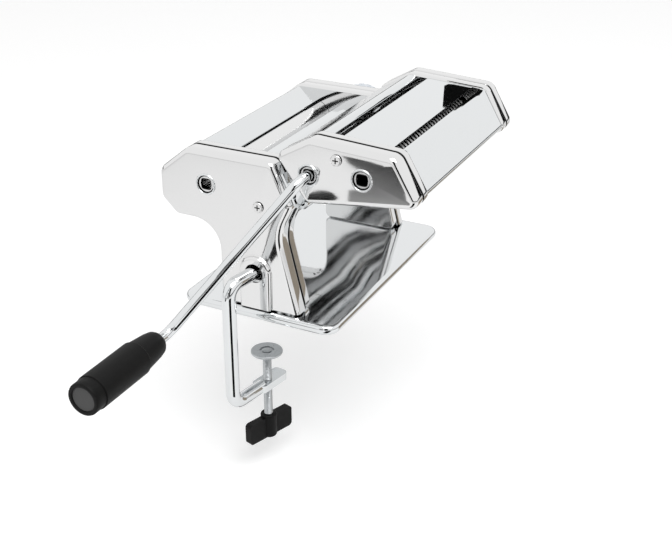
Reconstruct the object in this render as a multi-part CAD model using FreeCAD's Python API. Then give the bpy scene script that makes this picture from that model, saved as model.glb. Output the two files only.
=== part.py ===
import FreeCAD, Part
import math
import os
from FreeCAD import Vector

# Hand-cranked pasta roller machine with a two-width cutter unit, a crank and a table clamp.
# Millimetres. X runs along the rollers with the crank at -X, -Y is the cutter side, +Z is up.
# The origin lies on the table, under the middle of the base plate.

# Side boxes: an outer cover and an inner frame, two pressed pans that meet at a seam
body_width = 197.0
cover_depth = 12.5
frame_depth = 9.0
cover_sheet = 1.2
frame_sheet = 1.5
panel_sheet = 1.0
rim_round = 4.5
frame_round = 2.0
fit_gap = 0.05
run_gap = 0.06
side_gap = 0.4

# Base plate with a rolled edge, on rubber feet
base_overhang = 5.5
base_width = 132.0
base_top = 9.0
base_sheet = 1.4
base_corner = 12.0
base_bead = 5.0
base_lift = 1.2
base_flat = 0.4
foot_radius = 8.0
foot_edge = 1.2
foot_inset_x = 20.0
foot_inset_y = 14.0
base_screw_y = 20.0
base_screw_radius = 2.0
screw_head_radius = 4.0
screw_head_height = 2.2
base_nut_width = 6.4
nut_height = 3.2
thread_end = 0.8

# Smooth rollers: the rear one is driven, the front one moves to set the thickness
roller_diameter = 28.0
roller_gap = 2.0
thin_gap = 0.3
roller_z = 101.7
drive_y = 41.3
idle_y = drive_y - roller_diameter - roller_gap
journal_radius = 5.0
hub_radius = 6.3
socket_radius = 4.7
socket_flats = 7.2
socket_depth = 20.0
socket_recess = 0.8
bush_wall = 2.0
bush_length = 5.0
bush_flange = 2.0
bush_flange_length = 1.2
bush_to_gear = 1.0
bezel_gap = 0.5
bezel_sleeve = 1.0
bezel_width = 1.6
bezel_proud = 0.8

# Outline of the machine's side, as (y, z, corner radius), its head counted from the front roller
leg_rear_y = 32.5
leg_front_y = -34.5
head_top = 127.5
head_rear_y = 82.0
leg_trim = 12.0
main_outline = [
    (leg_front_y, base_top, 5.5),
    (leg_rear_y, base_top, 5.5),
    (leg_rear_y, 72.3, 22.0),
    (69.3, 72.3, 7.0),
    (head_rear_y, 84.5, 8.0),
    (head_rear_y, 107.4, 9.0),
    (57.2, head_top, 9.0),
    (idle_y - 25.6, head_top, 7.0),
    (idle_y - 40.8, 95.0, 6.0),
    (idle_y - 29.8, 72.0, 16.0),
]

# Spur gears, all of one tooth form
gear_teeth = 16
gear_width = 6.0
gear_backlash = 0.24
pressure_angle = math.radians(20.0)
long_addendum = 1.2
plain_addendum = 1.0
tip_clearance = 0.35
flank_steps = 4

# Sliding carriage of the front roller
block_height = 17.0
block_thickness = 4.4
tongue_height = 13.8
slide_clearance = 0.1
carriage_bar_radius = 3.0
carriage_bar_gap = 2.8

# Regulator: spindle with an eccentric that turns in the carriage's yoke, dial plate and knob
regulator_turn = math.radians(160.0)
eccentric_radius = 9.0
eccentric_width = 6.0
yoke_wall = 3.0
yoke_clearance = 0.25
spindle_radius = 5.0
regulator_flange = 2.0
knob_radius = 22.0
knob_height = 15.0
knob_flutes = 20
knob_flute_radius = 2.4
knob_flute_out = 1.3
knob_edge = 3.0
dial_radius = 24.0
dial_thickness = 1.5
knob_gap = 0.8
knob_screw_radius = 2.0
knob_screw_depth = 8.0
knob_screw_spare = 1.0
knob_roof = 4.0

# Hoods, tie bars and scrapers of the main body
hood_edge_reach = 4.5
hood_edge_lift = 1.9
lip_reach = 2.2
lip_depth = 6.5
lip_lift = 0.6
hood_bend = 3.0
hood_inset = 1.4
hood_knee_z = 111.0
hood_foot_z = 93.5
hood_set_back = 5.0
tie_radius = 4.0
tie_spigot_radius = 2.5
tie_nut_radius = 4.6
rear_tie = (64.0, 81.6)
front_tie = (idle_y - 24.8, 80.4)
scraper_sheet = 0.8
scraper_gap = 0.35
scraper_angle = math.radians(70.0)

# Cover screws and the brackets that take them
crank_cover_screw = (-2.7, 91.8)
dial_cover_screw = (2.0, 66.0)
cover_screw_radius = 1.7
cover_screw_head_radius = 4.2
cover_screw_head_height = 1.6
cover_screw_length = 7.0
screw_dome = 1.0
screw_slot_length = 4.4
screw_slot_width = 0.9
screw_slot_depth = 0.9
bracket_sheet = 2.0
bracket_half_width = 4.5
bracket_drop = 16.0
bracket_foot = 12.0

# Cutter unit: places are (y, z), and those at its front are counted from the foremost roller
wide_axis = (idle_y - 54.9, 123.6)
cutter_spacing = 19.8
ring_overlap = 0.8
ring_root_gap = 0.6
pair_clearance = 0.6
pair_rise = 3.3
cutter_radius = (cutter_spacing + ring_overlap) / 2
core_radius = cutter_spacing - cutter_radius - ring_root_gap
cutter_gear_tip = cutter_spacing / 2 + plain_addendum * cutter_spacing / gear_teeth
middle_y = wide_axis[0] - cutter_spacing
narrow_axis = (middle_y - 2 * cutter_radius - pair_clearance, wide_axis[1] + pair_rise)
foremost_y = narrow_axis[0] - cutter_spacing
cutter_outline = [
    (idle_y - 27.3, 134.4, 6.0),
    (idle_y - 55.3, 150.5, 10.0),
    (foremost_y - cutter_gear_tip + 6.8, 146.8, 9.0),
    (foremost_y - cutter_gear_tip - 13.7, 112.1, 6.0),
    (idle_y - 52.1, 101.1, 7.0),
]
panel_nose = (foremost_y - cutter_gear_tip - 12.0, 115.0)
panel_lip = (foremost_y - cutter_gear_tip - 3.5, 110.8)
panel_outline = cutter_outline[:3] + [panel_nose, panel_lip] + cutter_outline[4:]
wide_ring = 6.5
narrow_ring = 2.5
ring_clearance = 0.08
cutting_margin = 2.0
partner_journal_radius = 4.0
comb_reach = 5.2
wide_comb_angle = math.radians(227.6)
narrow_comb_angle = math.radians(217.8)
comb_arm = cutter_radius + comb_reach
cutter_ties = [
    (idle_y - 41.3, 131.5),
    (middle_y + comb_arm * math.cos(wide_comb_angle),
     wide_axis[1] + comb_arm * math.sin(wide_comb_angle)),
    (foremost_y + comb_arm * math.cos(narrow_comb_angle),
     narrow_axis[1] + comb_arm * math.sin(narrow_comb_angle)),
]
cutter_tie_radius = 3.0
cutter_tie_spigot = 2.0
cutter_nut_radius = 3.9
post_radius = 3.0
post_clearance = 0.7
cutter_screw = (middle_y - 2.0, wide_axis[1] + cutter_gear_tip + post_clearance + post_radius)
wide_slot = (middle_y + 12.9, middle_y + 5.4)
narrow_slot = (foremost_y + 5.9, foremost_y - 1.1)
comb_thickness = 1.0
comb_gap = 0.5
panel_drop = 1.2
slot_wall = 5.0
slot_bend = 2.5
brow_bend = 1.0
nose_bend = 2.5
crest_bend = 6.0
tail_bend = 3.0
rear_foot_z = 118.5

# Hooks on the front slopes, and the pegs of the cutter unit that hang in them
hook_sheet = 2.5
hook_lip = 5.8
hook_top = 118.0
hook_bend = 1.5
hook_inset = 2.0
hook_play = 0.5
peg = (idle_y - 45.6, 101.5)
peg_radius = 3.5
peg_gap = 0.3
peg_inset = 1.0
web_foot = 4.8
web_height = 12.0

# Crank
rod_radius = 4.0
rod_flats = 6.9
rod_bend = 12.0
crank_end_gap = 1.5
flats_end = 1.0
crank_out = 13.0
crank_slant = 60.0
crank_throw = 130.7
crank_angle = math.radians(55.1)
grip_start = 14.0
grip_length = 84.8
grip_radius = 12.0
grip_sleeve_radius = 12.75
grip_nose_radius = 7.8
grip_nose_length = 3.0
grip_nose_step = 1.5
grip_taper = 16.0
grip_taper_step = 1.0
grip_sleeve_start = 26.0
grip_end_length = 9.5
grip_edge = 1.2
grip_wall = 3.3
grip_recess = 6.0
cap_inset = 1.0
cap_thickness = 2.0
washer_radius = 7.0
washer_thickness = 1.5
washer_gap = 0.3

# Table clamp
clamp_hole = (0.8, 39.3)
clamp_swivel = math.radians(9.8)
clamp_rod_radius = 5.3
clamp_bend = 10.0
clamp_reach = 31.5
clamp_inside = 26.0
clamp_arm_z = -60.8
clamp_arm_tip = 27.8
clamp_screw_at = 9.6
paddle_width = 13.0
paddle_thickness = 6.0
paddle_corner = 4.0
paddle_lap = 5.5
boss_width = 26.0
boss_rise = 3.5
boss_flat = 0.4
boss_hole_radius = 7.5
clamp_hole_gap = 0.5
clamp_screw_radius = 3.5
pad_top = -31.9
pad_radius = 12.5
pad_thickness = 2.2
pad_edge = 0.9
pad_dish_radius = 5.6
pad_neck_radius = 2.0
rivet_radius = 3.6
rivet_height = 1.4
wing_span = 44.5
wing_height = 18.0
wing_thickness = 6.0
wing_corner = 3.0
wing_turn = 18.0
wing_hub_radius = 6.5
wing_hub_height = 20.5
wing_hub_edge = 1.5
wing_hub_top = -89.0

# Planes and places that follow from the sizes above
base_length = body_width + 2 * base_overhang
x_face = body_width / 2
x_seam = x_face - cover_depth
x_wall = x_seam - frame_depth
x_plate = x_wall + frame_sheet
x_inner = x_face - cover_sheet
roller_radius = roller_diameter / 2
carriage_travel = roller_gap - thin_gap
carriage_bar_y = idle_y - roller_radius - carriage_bar_gap - carriage_bar_radius
regulator_swing = carriage_travel / 2
eccentric_offset = regulator_swing / math.sin(regulator_turn / 2)
eccentric_drop = eccentric_offset * math.cos(regulator_turn / 2)
regulator_y = idle_y + regulator_swing
bezel_hole_radius = hub_radius + bezel_gap
cutting_length = 2 * (x_wall - cutting_margin)
hook_inner = x_wall + hook_inset
grip_bore_end = grip_radius - grip_wall
gear_x = x_plate + bush_length + bush_to_gear
knob_base = x_face + dial_thickness + knob_gap
clamp_along = Vector(math.cos(clamp_swivel), -math.sin(clamp_swivel), 0)
clamp_origin = Vector(-x_face, clamp_hole[0], clamp_hole[1])


def box(x0, x1, y0, y1, z0, z1):
    """Upright block between two corners."""
    low = Vector(min(x0, x1), min(y0, y1), min(z0, z1))
    return Part.makeBox(abs(x1 - x0), abs(y1 - y0), abs(z1 - z0), low)


def rod_x(radius, x0, x1, y, z):
    """Round bar along X."""
    return Part.makeCylinder(radius, abs(x1 - x0), Vector(min(x0, x1), y, z), Vector(1, 0, 0))


def rod_z(radius, z0, z1, x, y):
    """Round bar along Z."""
    return Part.makeCylinder(radius, abs(z1 - z0), Vector(x, y, min(z0, z1)))


def fuse(shapes):
    """One solid from several that touch or overlap."""
    return shapes[0].multiFuse(shapes[1:]).removeSplitter()


def mirrored(shape):
    """The same piece on the other side of the machine."""
    return shape.mirror(Vector(0, 0, 0), Vector(1, 0, 0))


def rounded_wire(corners, x):
    """Closed outline in the plane X = x: straight runs between tangent arcs at the (y, z, radius) corners."""
    count = len(corners)
    points = [Vector(x, c[0], c[1]) for c in corners]
    arcs = []
    for i in range(count):
        back = (points[i - 1] - points[i]).normalize()
        ahead = (points[(i + 1) % count] - points[i]).normalize()
        half = back.getAngle(ahead) / 2
        radius = corners[i][2]
        reach = radius / math.tan(half)
        middle = points[i] + (back + ahead) * (radius * (1 / math.sin(half) - 1) / (2 * math.cos(half)))
        arcs.append((points[i] + back * reach, middle, points[i] + ahead * reach))
    edges = []
    for i in range(count):
        start, middle, end = arcs[i]
        if start.distanceToPoint(end) > 1e-6:
            edges.append(Part.Arc(start, middle, end).toShape())
        run_end = arcs[(i + 1) % count][0]
        if end.distanceToPoint(run_end) > 1e-6:
            edges.append(Part.LineSegment(end, run_end).toShape())
    return Part.Wire(edges)


def inset(outline, index, distance):
    """Corner of a closed outline, moved inwards so that it stays a distance from both of its edges."""
    here = Vector(0, outline[index][0], outline[index][1])
    last = outline[index - 1]
    following = outline[(index + 1) % len(outline)]
    come = (here - Vector(0, last[0], last[1])).normalize()
    leave = (Vector(0, following[0], following[1]) - here).normalize()
    mid = (Vector(0, -come.z, come.y) + Vector(0, -leave.z, leave.y)).normalize()
    moved = here + mid * (distance / mid.dot(Vector(0, -come.z, come.y)))
    return moved.y, moved.z


def prism(corners, x0, x1):
    """Rounded outline carried from X = x0 to X = x1."""
    return Part.Face(rounded_wire(corners, x0)).extrude(Vector(x1 - x0, 0, 0))


def rounded_block(face, depth, radius):
    """Flat face carried a depth along X, with its far edges rounded."""
    solid = face.extrude(Vector(depth, 0, 0))
    far = face.BoundBox.XMin + depth
    edges = [
        e for e in solid.Edges
        if abs(e.BoundBox.XMin - far) < 1e-6 and abs(e.BoundBox.XMax - far) < 1e-6
    ]
    return solid.makeFillet(radius, edges)


def pan(corners, x_open, x_closed, sheet, edge_radius):
    """Pressed pan, open at x_open and closed at x_closed, with a rounded edge round its floor."""
    face = Part.Face(rounded_wire(corners, x_open))
    depth = x_closed - x_open
    step = math.copysign(sheet, depth)
    outer = rounded_block(face, depth, edge_radius)
    inner = rounded_block(face.makeOffset2D(-sheet), depth - step, edge_radius - sheet)
    return outer.cut(inner)


def sheet_outline(path, thickness):
    """Section of a bent sheet: the (y, z, bend) path, and the same path a thickness to its left."""
    count = len(path)
    points = [Vector(0, p[0], p[1]) for p in path]
    runs = [(points[i + 1] - points[i]).normalize() for i in range(count - 1)]
    left = [Vector(0, -r.z, r.y) for r in runs]
    near = []
    far = []
    for i in range(count):
        first = left[max(i - 1, 0)]
        second = left[min(i, count - 2)]
        mid = (first + second).normalize()
        shift = mid * (thickness / mid.dot(first))
        before = runs[max(i - 1, 0)]
        after = runs[min(i, count - 2)]
        turns_left = before.y * after.z - before.z * after.y > 0
        bend = path[i][2]
        inside = bend
        outside = bend + thickness if bend else 0.0
        near.append((points[i].y, points[i].z, outside if turns_left else inside))
        moved = points[i] + shift
        far.append((moved.y, moved.z, inside if turns_left else outside))
    return near + far[::-1]


def panel(path, thickness):
    """Bent sheet that spans the space between the two inner frames."""
    return prism(sheet_outline(path, thickness), -x_wall, x_wall)


def gear(distance, addendum, bore, x0, y, z, on_space):
    """Involute spur gear for a pair whose least centre distance is given; addendum is in modules."""
    pitch = distance / 2
    module = distance / gear_teeth
    base = pitch * math.cos(pressure_angle)
    tip = pitch + addendum * module
    root = distance - tip - tip_clearance
    half = (math.pi * module / 2 - gear_backlash) / (2 * pitch)
    involute = math.tan(pressure_angle) - pressure_angle
    lowest = max(base, root)
    flank = []
    for i in range(flank_steps + 1):
        radius = lowest + (tip - lowest) * i / flank_steps
        angle = math.acos(min(1.0, base / radius))
        flank.append((radius, half + involute - (math.tan(angle) - angle)))
    tooth = [(root, flank[0][1])] + flank
    turn = 2 * math.pi / gear_teeth
    points = []
    for k in range(gear_teeth):
        middle = (k + (0.5 if on_space else 0.0)) * turn
        for radius, spread in tooth:
            points.append((radius, middle - spread))
        for radius, spread in reversed(tooth):
            points.append((radius, middle + spread))
    ring = [Vector(x0, y + r * math.cos(a), z + r * math.sin(a)) for r, a in points]
    face = Part.Face(Part.makePolygon(ring + ring[:1]))
    return face.extrude(Vector(gear_width, 0, 0)).cut(rod_x(bore, x0, x0 + gear_width, y, z))


def socket(y, z):
    """Double-D drive socket sunk into the crank end of a shaft."""
    mouth = -x_face + socket_recess
    hole = rod_x(socket_radius, mouth, mouth + socket_depth, y, z)
    flats = box(mouth, mouth + socket_depth, y - hub_radius, y + hub_radius,
                z - socket_flats / 2, z + socket_flats / 2)
    return hole.common(flats)


def driven_shaft(y, z, body, tail_radius):
    """Shaft of a driven roller: its body, a hub with the socket at -X and a journal at +X."""
    hub = rod_x(hub_radius, -x_face + socket_recess, -x_wall, y, z)
    tail = rod_x(tail_radius, x_wall, x_plate + bush_length, y, z)
    return fuse([hub, body, tail]).cut(socket(y, z))


def shaft_body(radius, y, z):
    """Plain core between the frames, with a shoulder gap at each end that the journals cross."""
    end = x_wall - side_gap
    return rod_x(radius, -end, end, y, z)


def necks(radius, y, z):
    """Bar from frame to frame that bridges the shoulder gaps."""
    return rod_x(radius, -x_wall, x_wall, y, z)


def bush(radius, x_sign, y, z):
    """Flanged bush pressed into an inner frame, with the flange against the outside of the plate."""
    bore = radius + run_gap
    body = rod_x(bore + bush_wall, x_wall, x_plate + bush_length, y, z)
    flange = rod_x(bore + bush_wall + bush_flange, x_plate, x_plate + bush_flange_length, y, z)
    ring = fuse([body, flange]).cut(rod_x(bore, x_wall, x_plate + bush_length, y, z))
    return ring if x_sign > 0 else mirrored(ring)


def bush_hole(radius, x_sign, y, z):
    """Hole in a frame plate for that bush."""
    hole = rod_x(radius + run_gap + bush_wall + fit_gap, x_wall - 1, x_plate + 1, y, z)
    return hole if x_sign > 0 else mirrored(hole)


def bezel(y, z):
    """Bright ring round a drive socket, let into the crank-side cover."""
    sleeve = rod_x(bezel_hole_radius + bezel_sleeve, -x_face, -x_inner, y, z)
    rim = rod_x(bezel_hole_radius + bezel_width, -x_face - bezel_proud, -x_face, y, z)
    return fuse([sleeve, rim]).cut(rod_x(bezel_hole_radius, -x_face - bezel_proud, -x_inner, y, z))


def bezel_hole(y, z):
    """Hole in the crank-side cover for a bezel."""
    return rod_x(bezel_hole_radius + bezel_sleeve + fit_gap, -x_face - 1, -x_inner + 1, y, z)


def hexagon(radius, x0, x1, y, z):
    """Six-sided nut body along X."""
    ring = [
        Vector(x0, y + radius * math.cos(k * math.pi / 3), z + radius * math.sin(k * math.pi / 3))
        for k in range(7)
    ]
    return Part.Face(Part.makePolygon(ring)).extrude(Vector(x1 - x0, 0, 0))


def tie_bar(place, radius, spigot):
    """Spacer bar between the frames with a spigot through each plate."""
    y, z = place
    reach = x_plate + nut_height + thread_end
    return fuse([rod_x(radius, -x_wall, x_wall, y, z), rod_x(spigot, -reach, reach, y, z)])


def tie_nuts(places, radius, spigot):
    """Nuts on the spigots of the tie bars, outside both plates."""
    nuts = []
    for y, z in places:
        nut = hexagon(radius, x_plate, x_plate + nut_height, y, z)
        nut = nut.cut(rod_x(spigot + fit_gap, x_plate, x_plate + nut_height, y, z))
        nuts += [nut, mirrored(nut)]
    return Part.makeCompound(nuts)


def tie_holes(places, spigot):
    """Holes through both frames for the spigots."""
    return [rod_x(spigot + fit_gap, -x_seam, x_seam, y, z) for y, z in places]


def cover_screw_solid(y, z):
    """Round-headed screw through the dial-side cover; its mirror image holds the crank side."""
    head = rod_x(cover_screw_head_radius, x_face, x_face + cover_screw_head_height, y, z)
    rim = [e for e in head.Edges if e.BoundBox.XMin > x_face + 1e-6]
    shank = rod_x(cover_screw_radius, x_face - cover_screw_length, x_face, y, z)
    top = x_face + cover_screw_head_height
    long, wide = screw_slot_length / 2, screw_slot_width / 2
    cross = [
        box(top - screw_slot_depth, top + 1, y - a, y + a, z - b, z + b)
        for a, b in ((long, wide), (wide, long))
    ]
    return fuse([head.makeFillet(screw_dome, rim), shank]).cut(cross)


def screw_hole(y, z):
    """Clearance hole for a cover screw, from the plate to the face of the dial side."""
    return rod_x(cover_screw_radius + fit_gap, x_plate + 1, x_face + 1, y, z)


def base_plate():
    """Pressed plate with a solid-looking rolled bead all round its edge."""
    half_x = base_length / 2
    half_y = base_width / 2
    block = box(-half_x, half_x, -half_y, half_y, base_lift, base_top)
    upright = [e for e in block.Edges if e.BoundBox.ZLength > 1]
    block = block.makeFillet(base_corner, upright)
    level = [e for e in block.Edges if e.BoundBox.ZLength < 1e-6]
    block = block.makeFillet((base_top - base_lift - base_flat) / 2, level)
    hollow = box(-half_x + base_bead, half_x - base_bead, -half_y + base_bead, half_y - base_bead,
                 0, base_top - base_sheet)
    upright = [e for e in hollow.Edges if e.BoundBox.ZLength > 1]
    hollow = hollow.makeFillet(base_corner - base_bead, upright)
    return block.cut([hollow] + [base_screw_hole(x, y) for x, y in base_screw_places()])


def base_screw_places():
    """Four screws, two under each inner frame."""
    x = (x_plate + x_seam) / 2
    return [(sx * x, sy * base_screw_y) for sx in (-1, 1) for sy in (-1, 1)]


def base_screw_hole(x, y):
    """Clearance hole through the base and the foot of a frame."""
    return rod_z(base_screw_radius + fit_gap, 0, base_top + frame_sheet + 1, x, y)


def rubber_feet():
    """Four round feet under the corners, with the lower edge rounded."""
    feet = []
    for sx in (-1, 1):
        for sy in (-1, 1):
            x = sx * (base_length / 2 - foot_inset_x)
            y = sy * (base_width / 2 - foot_inset_y)
            foot = rod_z(foot_radius, 0, base_top - base_sheet, x, y)
            edge = [e for e in foot.Edges if e.BoundBox.ZMax < 1e-6]
            feet.append(foot.makeFillet(foot_edge, edge))
    return Part.makeCompound(feet)


def base_screws():
    """Screws from below, through the base into the frames."""
    seat = base_top - base_sheet
    screws = []
    for x, y in base_screw_places():
        head = rod_z(screw_head_radius, seat - screw_head_height, seat, x, y)
        shank = rod_z(base_screw_radius, seat, base_top + frame_sheet + nut_height, x, y)
        screws.append(fuse([head, shank]))
    return screws


def base_nuts():
    """Square nuts of those screws, inside the feet of the frames."""
    half = base_nut_width / 2
    low = base_top + frame_sheet
    nuts = []
    for x, y in base_screw_places():
        nut = box(x - half, x + half, y - half, y + half, low, low + nut_height)
        nuts.append(nut.cut(rod_z(base_screw_radius + fit_gap, low, low + nut_height, x, y)))
    return nuts


def clamp_boss():
    """Arch pressed outwards round the clamp hole, down to the base, as (solid, inside of the press)."""
    y, z = clamp_hole
    half = boss_width / 2
    arch = [
        (y - half, base_top, 0.0),
        (y + half, base_top, 0.0),
        (y + half, z + half, half),
        (y - half, z + half, half),
    ]
    face = Part.Face(rounded_wire(arch, -x_inner))
    depth = boss_rise + cover_sheet
    edge = boss_rise - boss_flat
    outer = rounded_block(face, -depth, edge)
    inner = rounded_block(face.makeOffset2D(-cover_sheet), -boss_rise, edge - cover_sheet)
    return outer, inner


def main_cover(x_sign):
    """Pan over a side box, pressed longer than the leg and trimmed flat where it stands on the base."""
    front, rear = main_outline[0], main_outline[1]
    low = base_top - leg_trim
    longer = [(line_y(main_outline[-1], front, low), low, front[2]), (rear[0], low, rear[2])]
    cover = pan(longer + main_outline[2:], x_sign * x_seam, x_sign * x_face, cover_sheet, rim_round)
    return cover.cut(box(-x_face - 1, x_face + 1, -base_width, base_width, low - 1, base_top))


def crank_side_cover():
    """Outer cover with the drive socket, the clamp hole and its arch."""
    cover = main_cover(-1)
    boss, hollow = clamp_boss()
    cover = fuse([cover, boss])
    y, z = clamp_hole
    entry = rod_x(boss_hole_radius, -x_face - boss_rise - 1, -x_face + 1, y, z)
    return cover.cut([hollow, entry, bezel_hole(drive_y, roller_z), mirrored(screw_hole(*crank_cover_screw))])


def dial_side_cover():
    """Outer cover with the bush of the regulator."""
    cover = main_cover(1)
    hole = rod_x(spindle_radius + run_gap + bush_wall + fit_gap, x_inner - 1, x_face + 1,
                 regulator_y, roller_z)
    return cover.cut([hole, screw_hole(*dial_cover_screw)])


def carriage_slots():
    """Windows in both plates for the tongues of the bearing blocks and for the cross bar."""
    half = tongue_height / 2 + slide_clearance
    end = half + side_gap
    main = box(-x_seam, x_seam, idle_y - end, idle_y + end + carriage_travel,
               roller_z - half, roller_z + half)
    bar = carriage_bar_radius + slide_clearance
    slot = box(-x_seam, x_seam, carriage_bar_y - bar - side_gap,
               carriage_bar_y + bar + side_gap + carriage_travel, roller_z - bar, roller_z + bar)
    return [main, slot]


def inner_frame(x_sign):
    """Inner pan of a side box, with the holes for bushes, carriage, tie bars and screws."""
    frame = pan(main_outline, x_sign * x_seam, x_sign * x_wall, frame_sheet, frame_round)
    holes = carriage_slots() + tie_holes([rear_tie, front_tie], tie_spigot_radius)
    holes += [base_screw_hole(x, y) for x, y in base_screw_places()]
    holes.append(bush_hole(hub_radius if x_sign < 0 else journal_radius, x_sign, drive_y, roller_z))
    if x_sign < 0:
        holes.append(clamp_frame_hole())
    return frame.cut(holes)


def clamp_frame_hole():
    """Hole in the crank-side plate that steadies the inner end of the clamp's rod."""
    to_plate = (x_face - (x_wall + x_plate) / 2) / math.cos(clamp_swivel)
    place = clamp_origin + clamp_along * to_plate
    lean = frame_sheet * math.tan(clamp_swivel)
    return rod_x(clamp_rod_radius / math.cos(clamp_swivel) + lean + clamp_hole_gap,
                 -x_plate - 1, -x_wall + 1, place.y, place.z)


def rear_hood():
    """Bent sheet that closes the back of the head and slopes down over the driven roller."""
    edge_z = roller_z + roller_radius + hood_edge_lift
    path = [(*inset(main_outline, 3, hood_inset), 0.0)]
    path += [(*inset(main_outline, corner, hood_inset), hood_bend) for corner in (4, 5, 6)]
    path.append((drive_y - hood_edge_reach, edge_z, 0.0))
    return panel(path, panel_sheet)


def front_hood():
    """Bent sheet with a level lip over the front roller, down behind the cutter unit."""
    lip = roller_z + roller_radius + lip_lift + panel_sheet
    lip_y = idle_y + lip_reach
    path = [
        (lip_y, lip, 0.0),
        (lip_y - lip_depth, lip, hood_bend),
        (slope_y(hood_knee_z) + hood_set_back, hood_knee_z, hood_bend),
        (slope_y(hood_foot_z) + hood_set_back, hood_foot_z, 0.0),
    ]
    return panel(path, panel_sheet)


def scraper(axis_y, direction, tie):
    """Blade on top of a tie bar, reaching up to just short of the underside of a roller."""
    reach = roller_radius + scraper_gap + scraper_sheet
    edge = Vector(0, axis_y + direction * reach * math.cos(scraper_angle),
                  roller_z - reach * math.sin(scraper_angle))
    seat = Vector(0, tie[0], tie[1] + tie_radius)
    run = (edge - seat).normalize()
    start = seat - run * tie_radius
    path = [(edge.y, edge.z, 0.0), (seat.y, seat.z, hood_bend), (start.y, seat.z, 0.0)]
    if direction < 0:
        path = path[::-1]
    return prism(sheet_outline(path, scraper_sheet), -x_wall + side_gap, x_wall - side_gap)


def cover_bracket(y, z):
    """Z-shaped strip from the dial-side plate to the back of the cover, tapped for the cover screw."""
    low = z - bracket_drop
    sides = (y - bracket_half_width, y + bracket_half_width)
    tab = box(x_inner - bracket_sheet, x_inner, *sides, low, z + bracket_half_width)
    riser = box(x_plate, x_inner, *sides, low, low + bracket_sheet)
    foot = box(x_plate, x_plate + bracket_sheet, *sides, low - bracket_foot, low + bracket_sheet)
    return fuse([tab, riser, foot]).cut(screw_hole(y, z))


def slope_y(z):
    """Front slope of the machine's side at a given height."""
    return line_y(main_outline[-3], main_outline[-2], z)


def hook(x_sign):
    """Bent strip on the front slope of a side box: down the slope, forward as a shelf, and up at its lip."""
    shelf = peg[1] - peg_radius - peg_gap - hook_sheet
    lip = peg[0] - peg_radius - hook_play - hook_sheet
    path = [
        (lip, shelf + hook_lip, 0.0),
        (lip, shelf, hook_bend),
        (slope_y(shelf), shelf, hook_bend),
        (slope_y(hook_top), hook_top, 0.0),
    ]
    return prism(sheet_outline(path, hook_sheet), x_sign * hook_inner, x_sign * (x_face - rim_round))


def lug(x_sign):
    """Round peg below the back of the cutter unit that drops into a hook, and the web that carries it."""
    tail, heel = cutter_outline[0], cutter_outline[-1]
    y, z = peg
    x0 = hook_inner + peg_inset
    x1 = x_face - rim_round - peg_inset
    web = [
        (line_y(tail, heel, z + web_foot), z + web_foot, 0.0),
        (y - peg_radius, z, 0.0),
        (y + peg_radius, z, 0.0),
        (line_y(tail, heel, z + web_height), z + web_height, 0.0),
    ]
    return fuse([prism(web, x_sign * x0, x_sign * x1), rod_x(peg_radius, x_sign * x0, x_sign * x1, y, z)])


def drive_roller():
    """Driven smooth roller with the hub and socket that the crank enters."""
    body = fuse([shaft_body(roller_radius, drive_y, roller_z), necks(journal_radius, drive_y, roller_z)])
    return driven_shaft(drive_y, roller_z, body, journal_radius)


def idle_roller():
    """Smooth roller that runs in the sliding blocks, with a longer journal for its gear."""
    body = shaft_body(roller_radius, idle_y, roller_z)
    crank_end = gear_x + gear_width
    dial_end = x_plate + run_gap + block_thickness
    return fuse([body, rod_x(journal_radius, -crank_end, dial_end, idle_y, roller_z)])


def main_gear(y, bore, on_space):
    """Gear of a smooth roller, in the crank-side box."""
    closest = drive_y - idle_y - carriage_travel
    return gear(closest, long_addendum, bore + fit_gap, -gear_x - gear_width, y, roller_z, on_space)


def bearing_block(x_sign):
    """Sliding block: a plate outside the frame, a tongue in the frame's window and, at +X, a yoke."""
    inner = x_plate + slide_clearance
    outer = inner + block_thickness
    low = roller_z - block_height / 2
    high = roller_z + block_height / 2
    front = carriage_bar_y - 2 * carriage_bar_radius
    yoke = eccentric_radius + yoke_clearance
    rear = idle_y + yoke + yoke_wall
    solids = [box(inner, outer, front, rear, low, high)]
    half = tongue_height / 2
    solids.append(box(x_wall + side_gap, inner, idle_y - half, idle_y + half,
                      roller_z - half, roller_z + half))
    if x_sign > 0:
        top = outer + side_gap + eccentric_width + side_gap
        for start in (idle_y - yoke - yoke_wall, idle_y + yoke):
            solids.append(box(outer, top, start, start + yoke_wall, low, high))
    holes = [
        rod_x(journal_radius + run_gap, x_wall, outer, idle_y, roller_z),
        rod_x(carriage_bar_radius + fit_gap, x_wall, outer, carriage_bar_y, roller_z),
    ]
    block = fuse(solids).cut(holes)
    return block if x_sign > 0 else mirrored(block)


def carriage_bar():
    """Cross bar that ties the two bearing blocks together."""
    end = x_plate + slide_clearance + block_thickness
    return rod_x(carriage_bar_radius, -end, end, carriage_bar_y, roller_z)


def regulator_spindle():
    """Spindle turned in one piece with the eccentric that works in the yoke."""
    start = x_plate + slide_clearance + block_thickness + side_gap
    disc = rod_x(eccentric_radius, start, start + eccentric_width,
                 regulator_y - regulator_swing, roller_z - eccentric_drop)
    end = knob_base + knob_height - knob_roof
    shaft = rod_x(spindle_radius, start, end, regulator_y, roller_z)
    tapped = rod_x(knob_screw_radius + fit_gap, end - knob_screw_depth, end, regulator_y, roller_z)
    return fuse([disc, shaft]).cut(tapped)


def regulator_bush():
    """Flanged bush of the spindle, pressed through the dial-side cover."""
    bore = spindle_radius + run_gap
    start = x_inner - regulator_flange
    end = x_face + dial_thickness
    sleeve = rod_x(bore + bush_wall, start, end, regulator_y, roller_z)
    flange = rod_x(bore + bush_wall + bush_flange, start, x_inner, regulator_y, roller_z)
    return fuse([sleeve, flange]).cut(rod_x(bore, start, end, regulator_y, roller_z))


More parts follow.
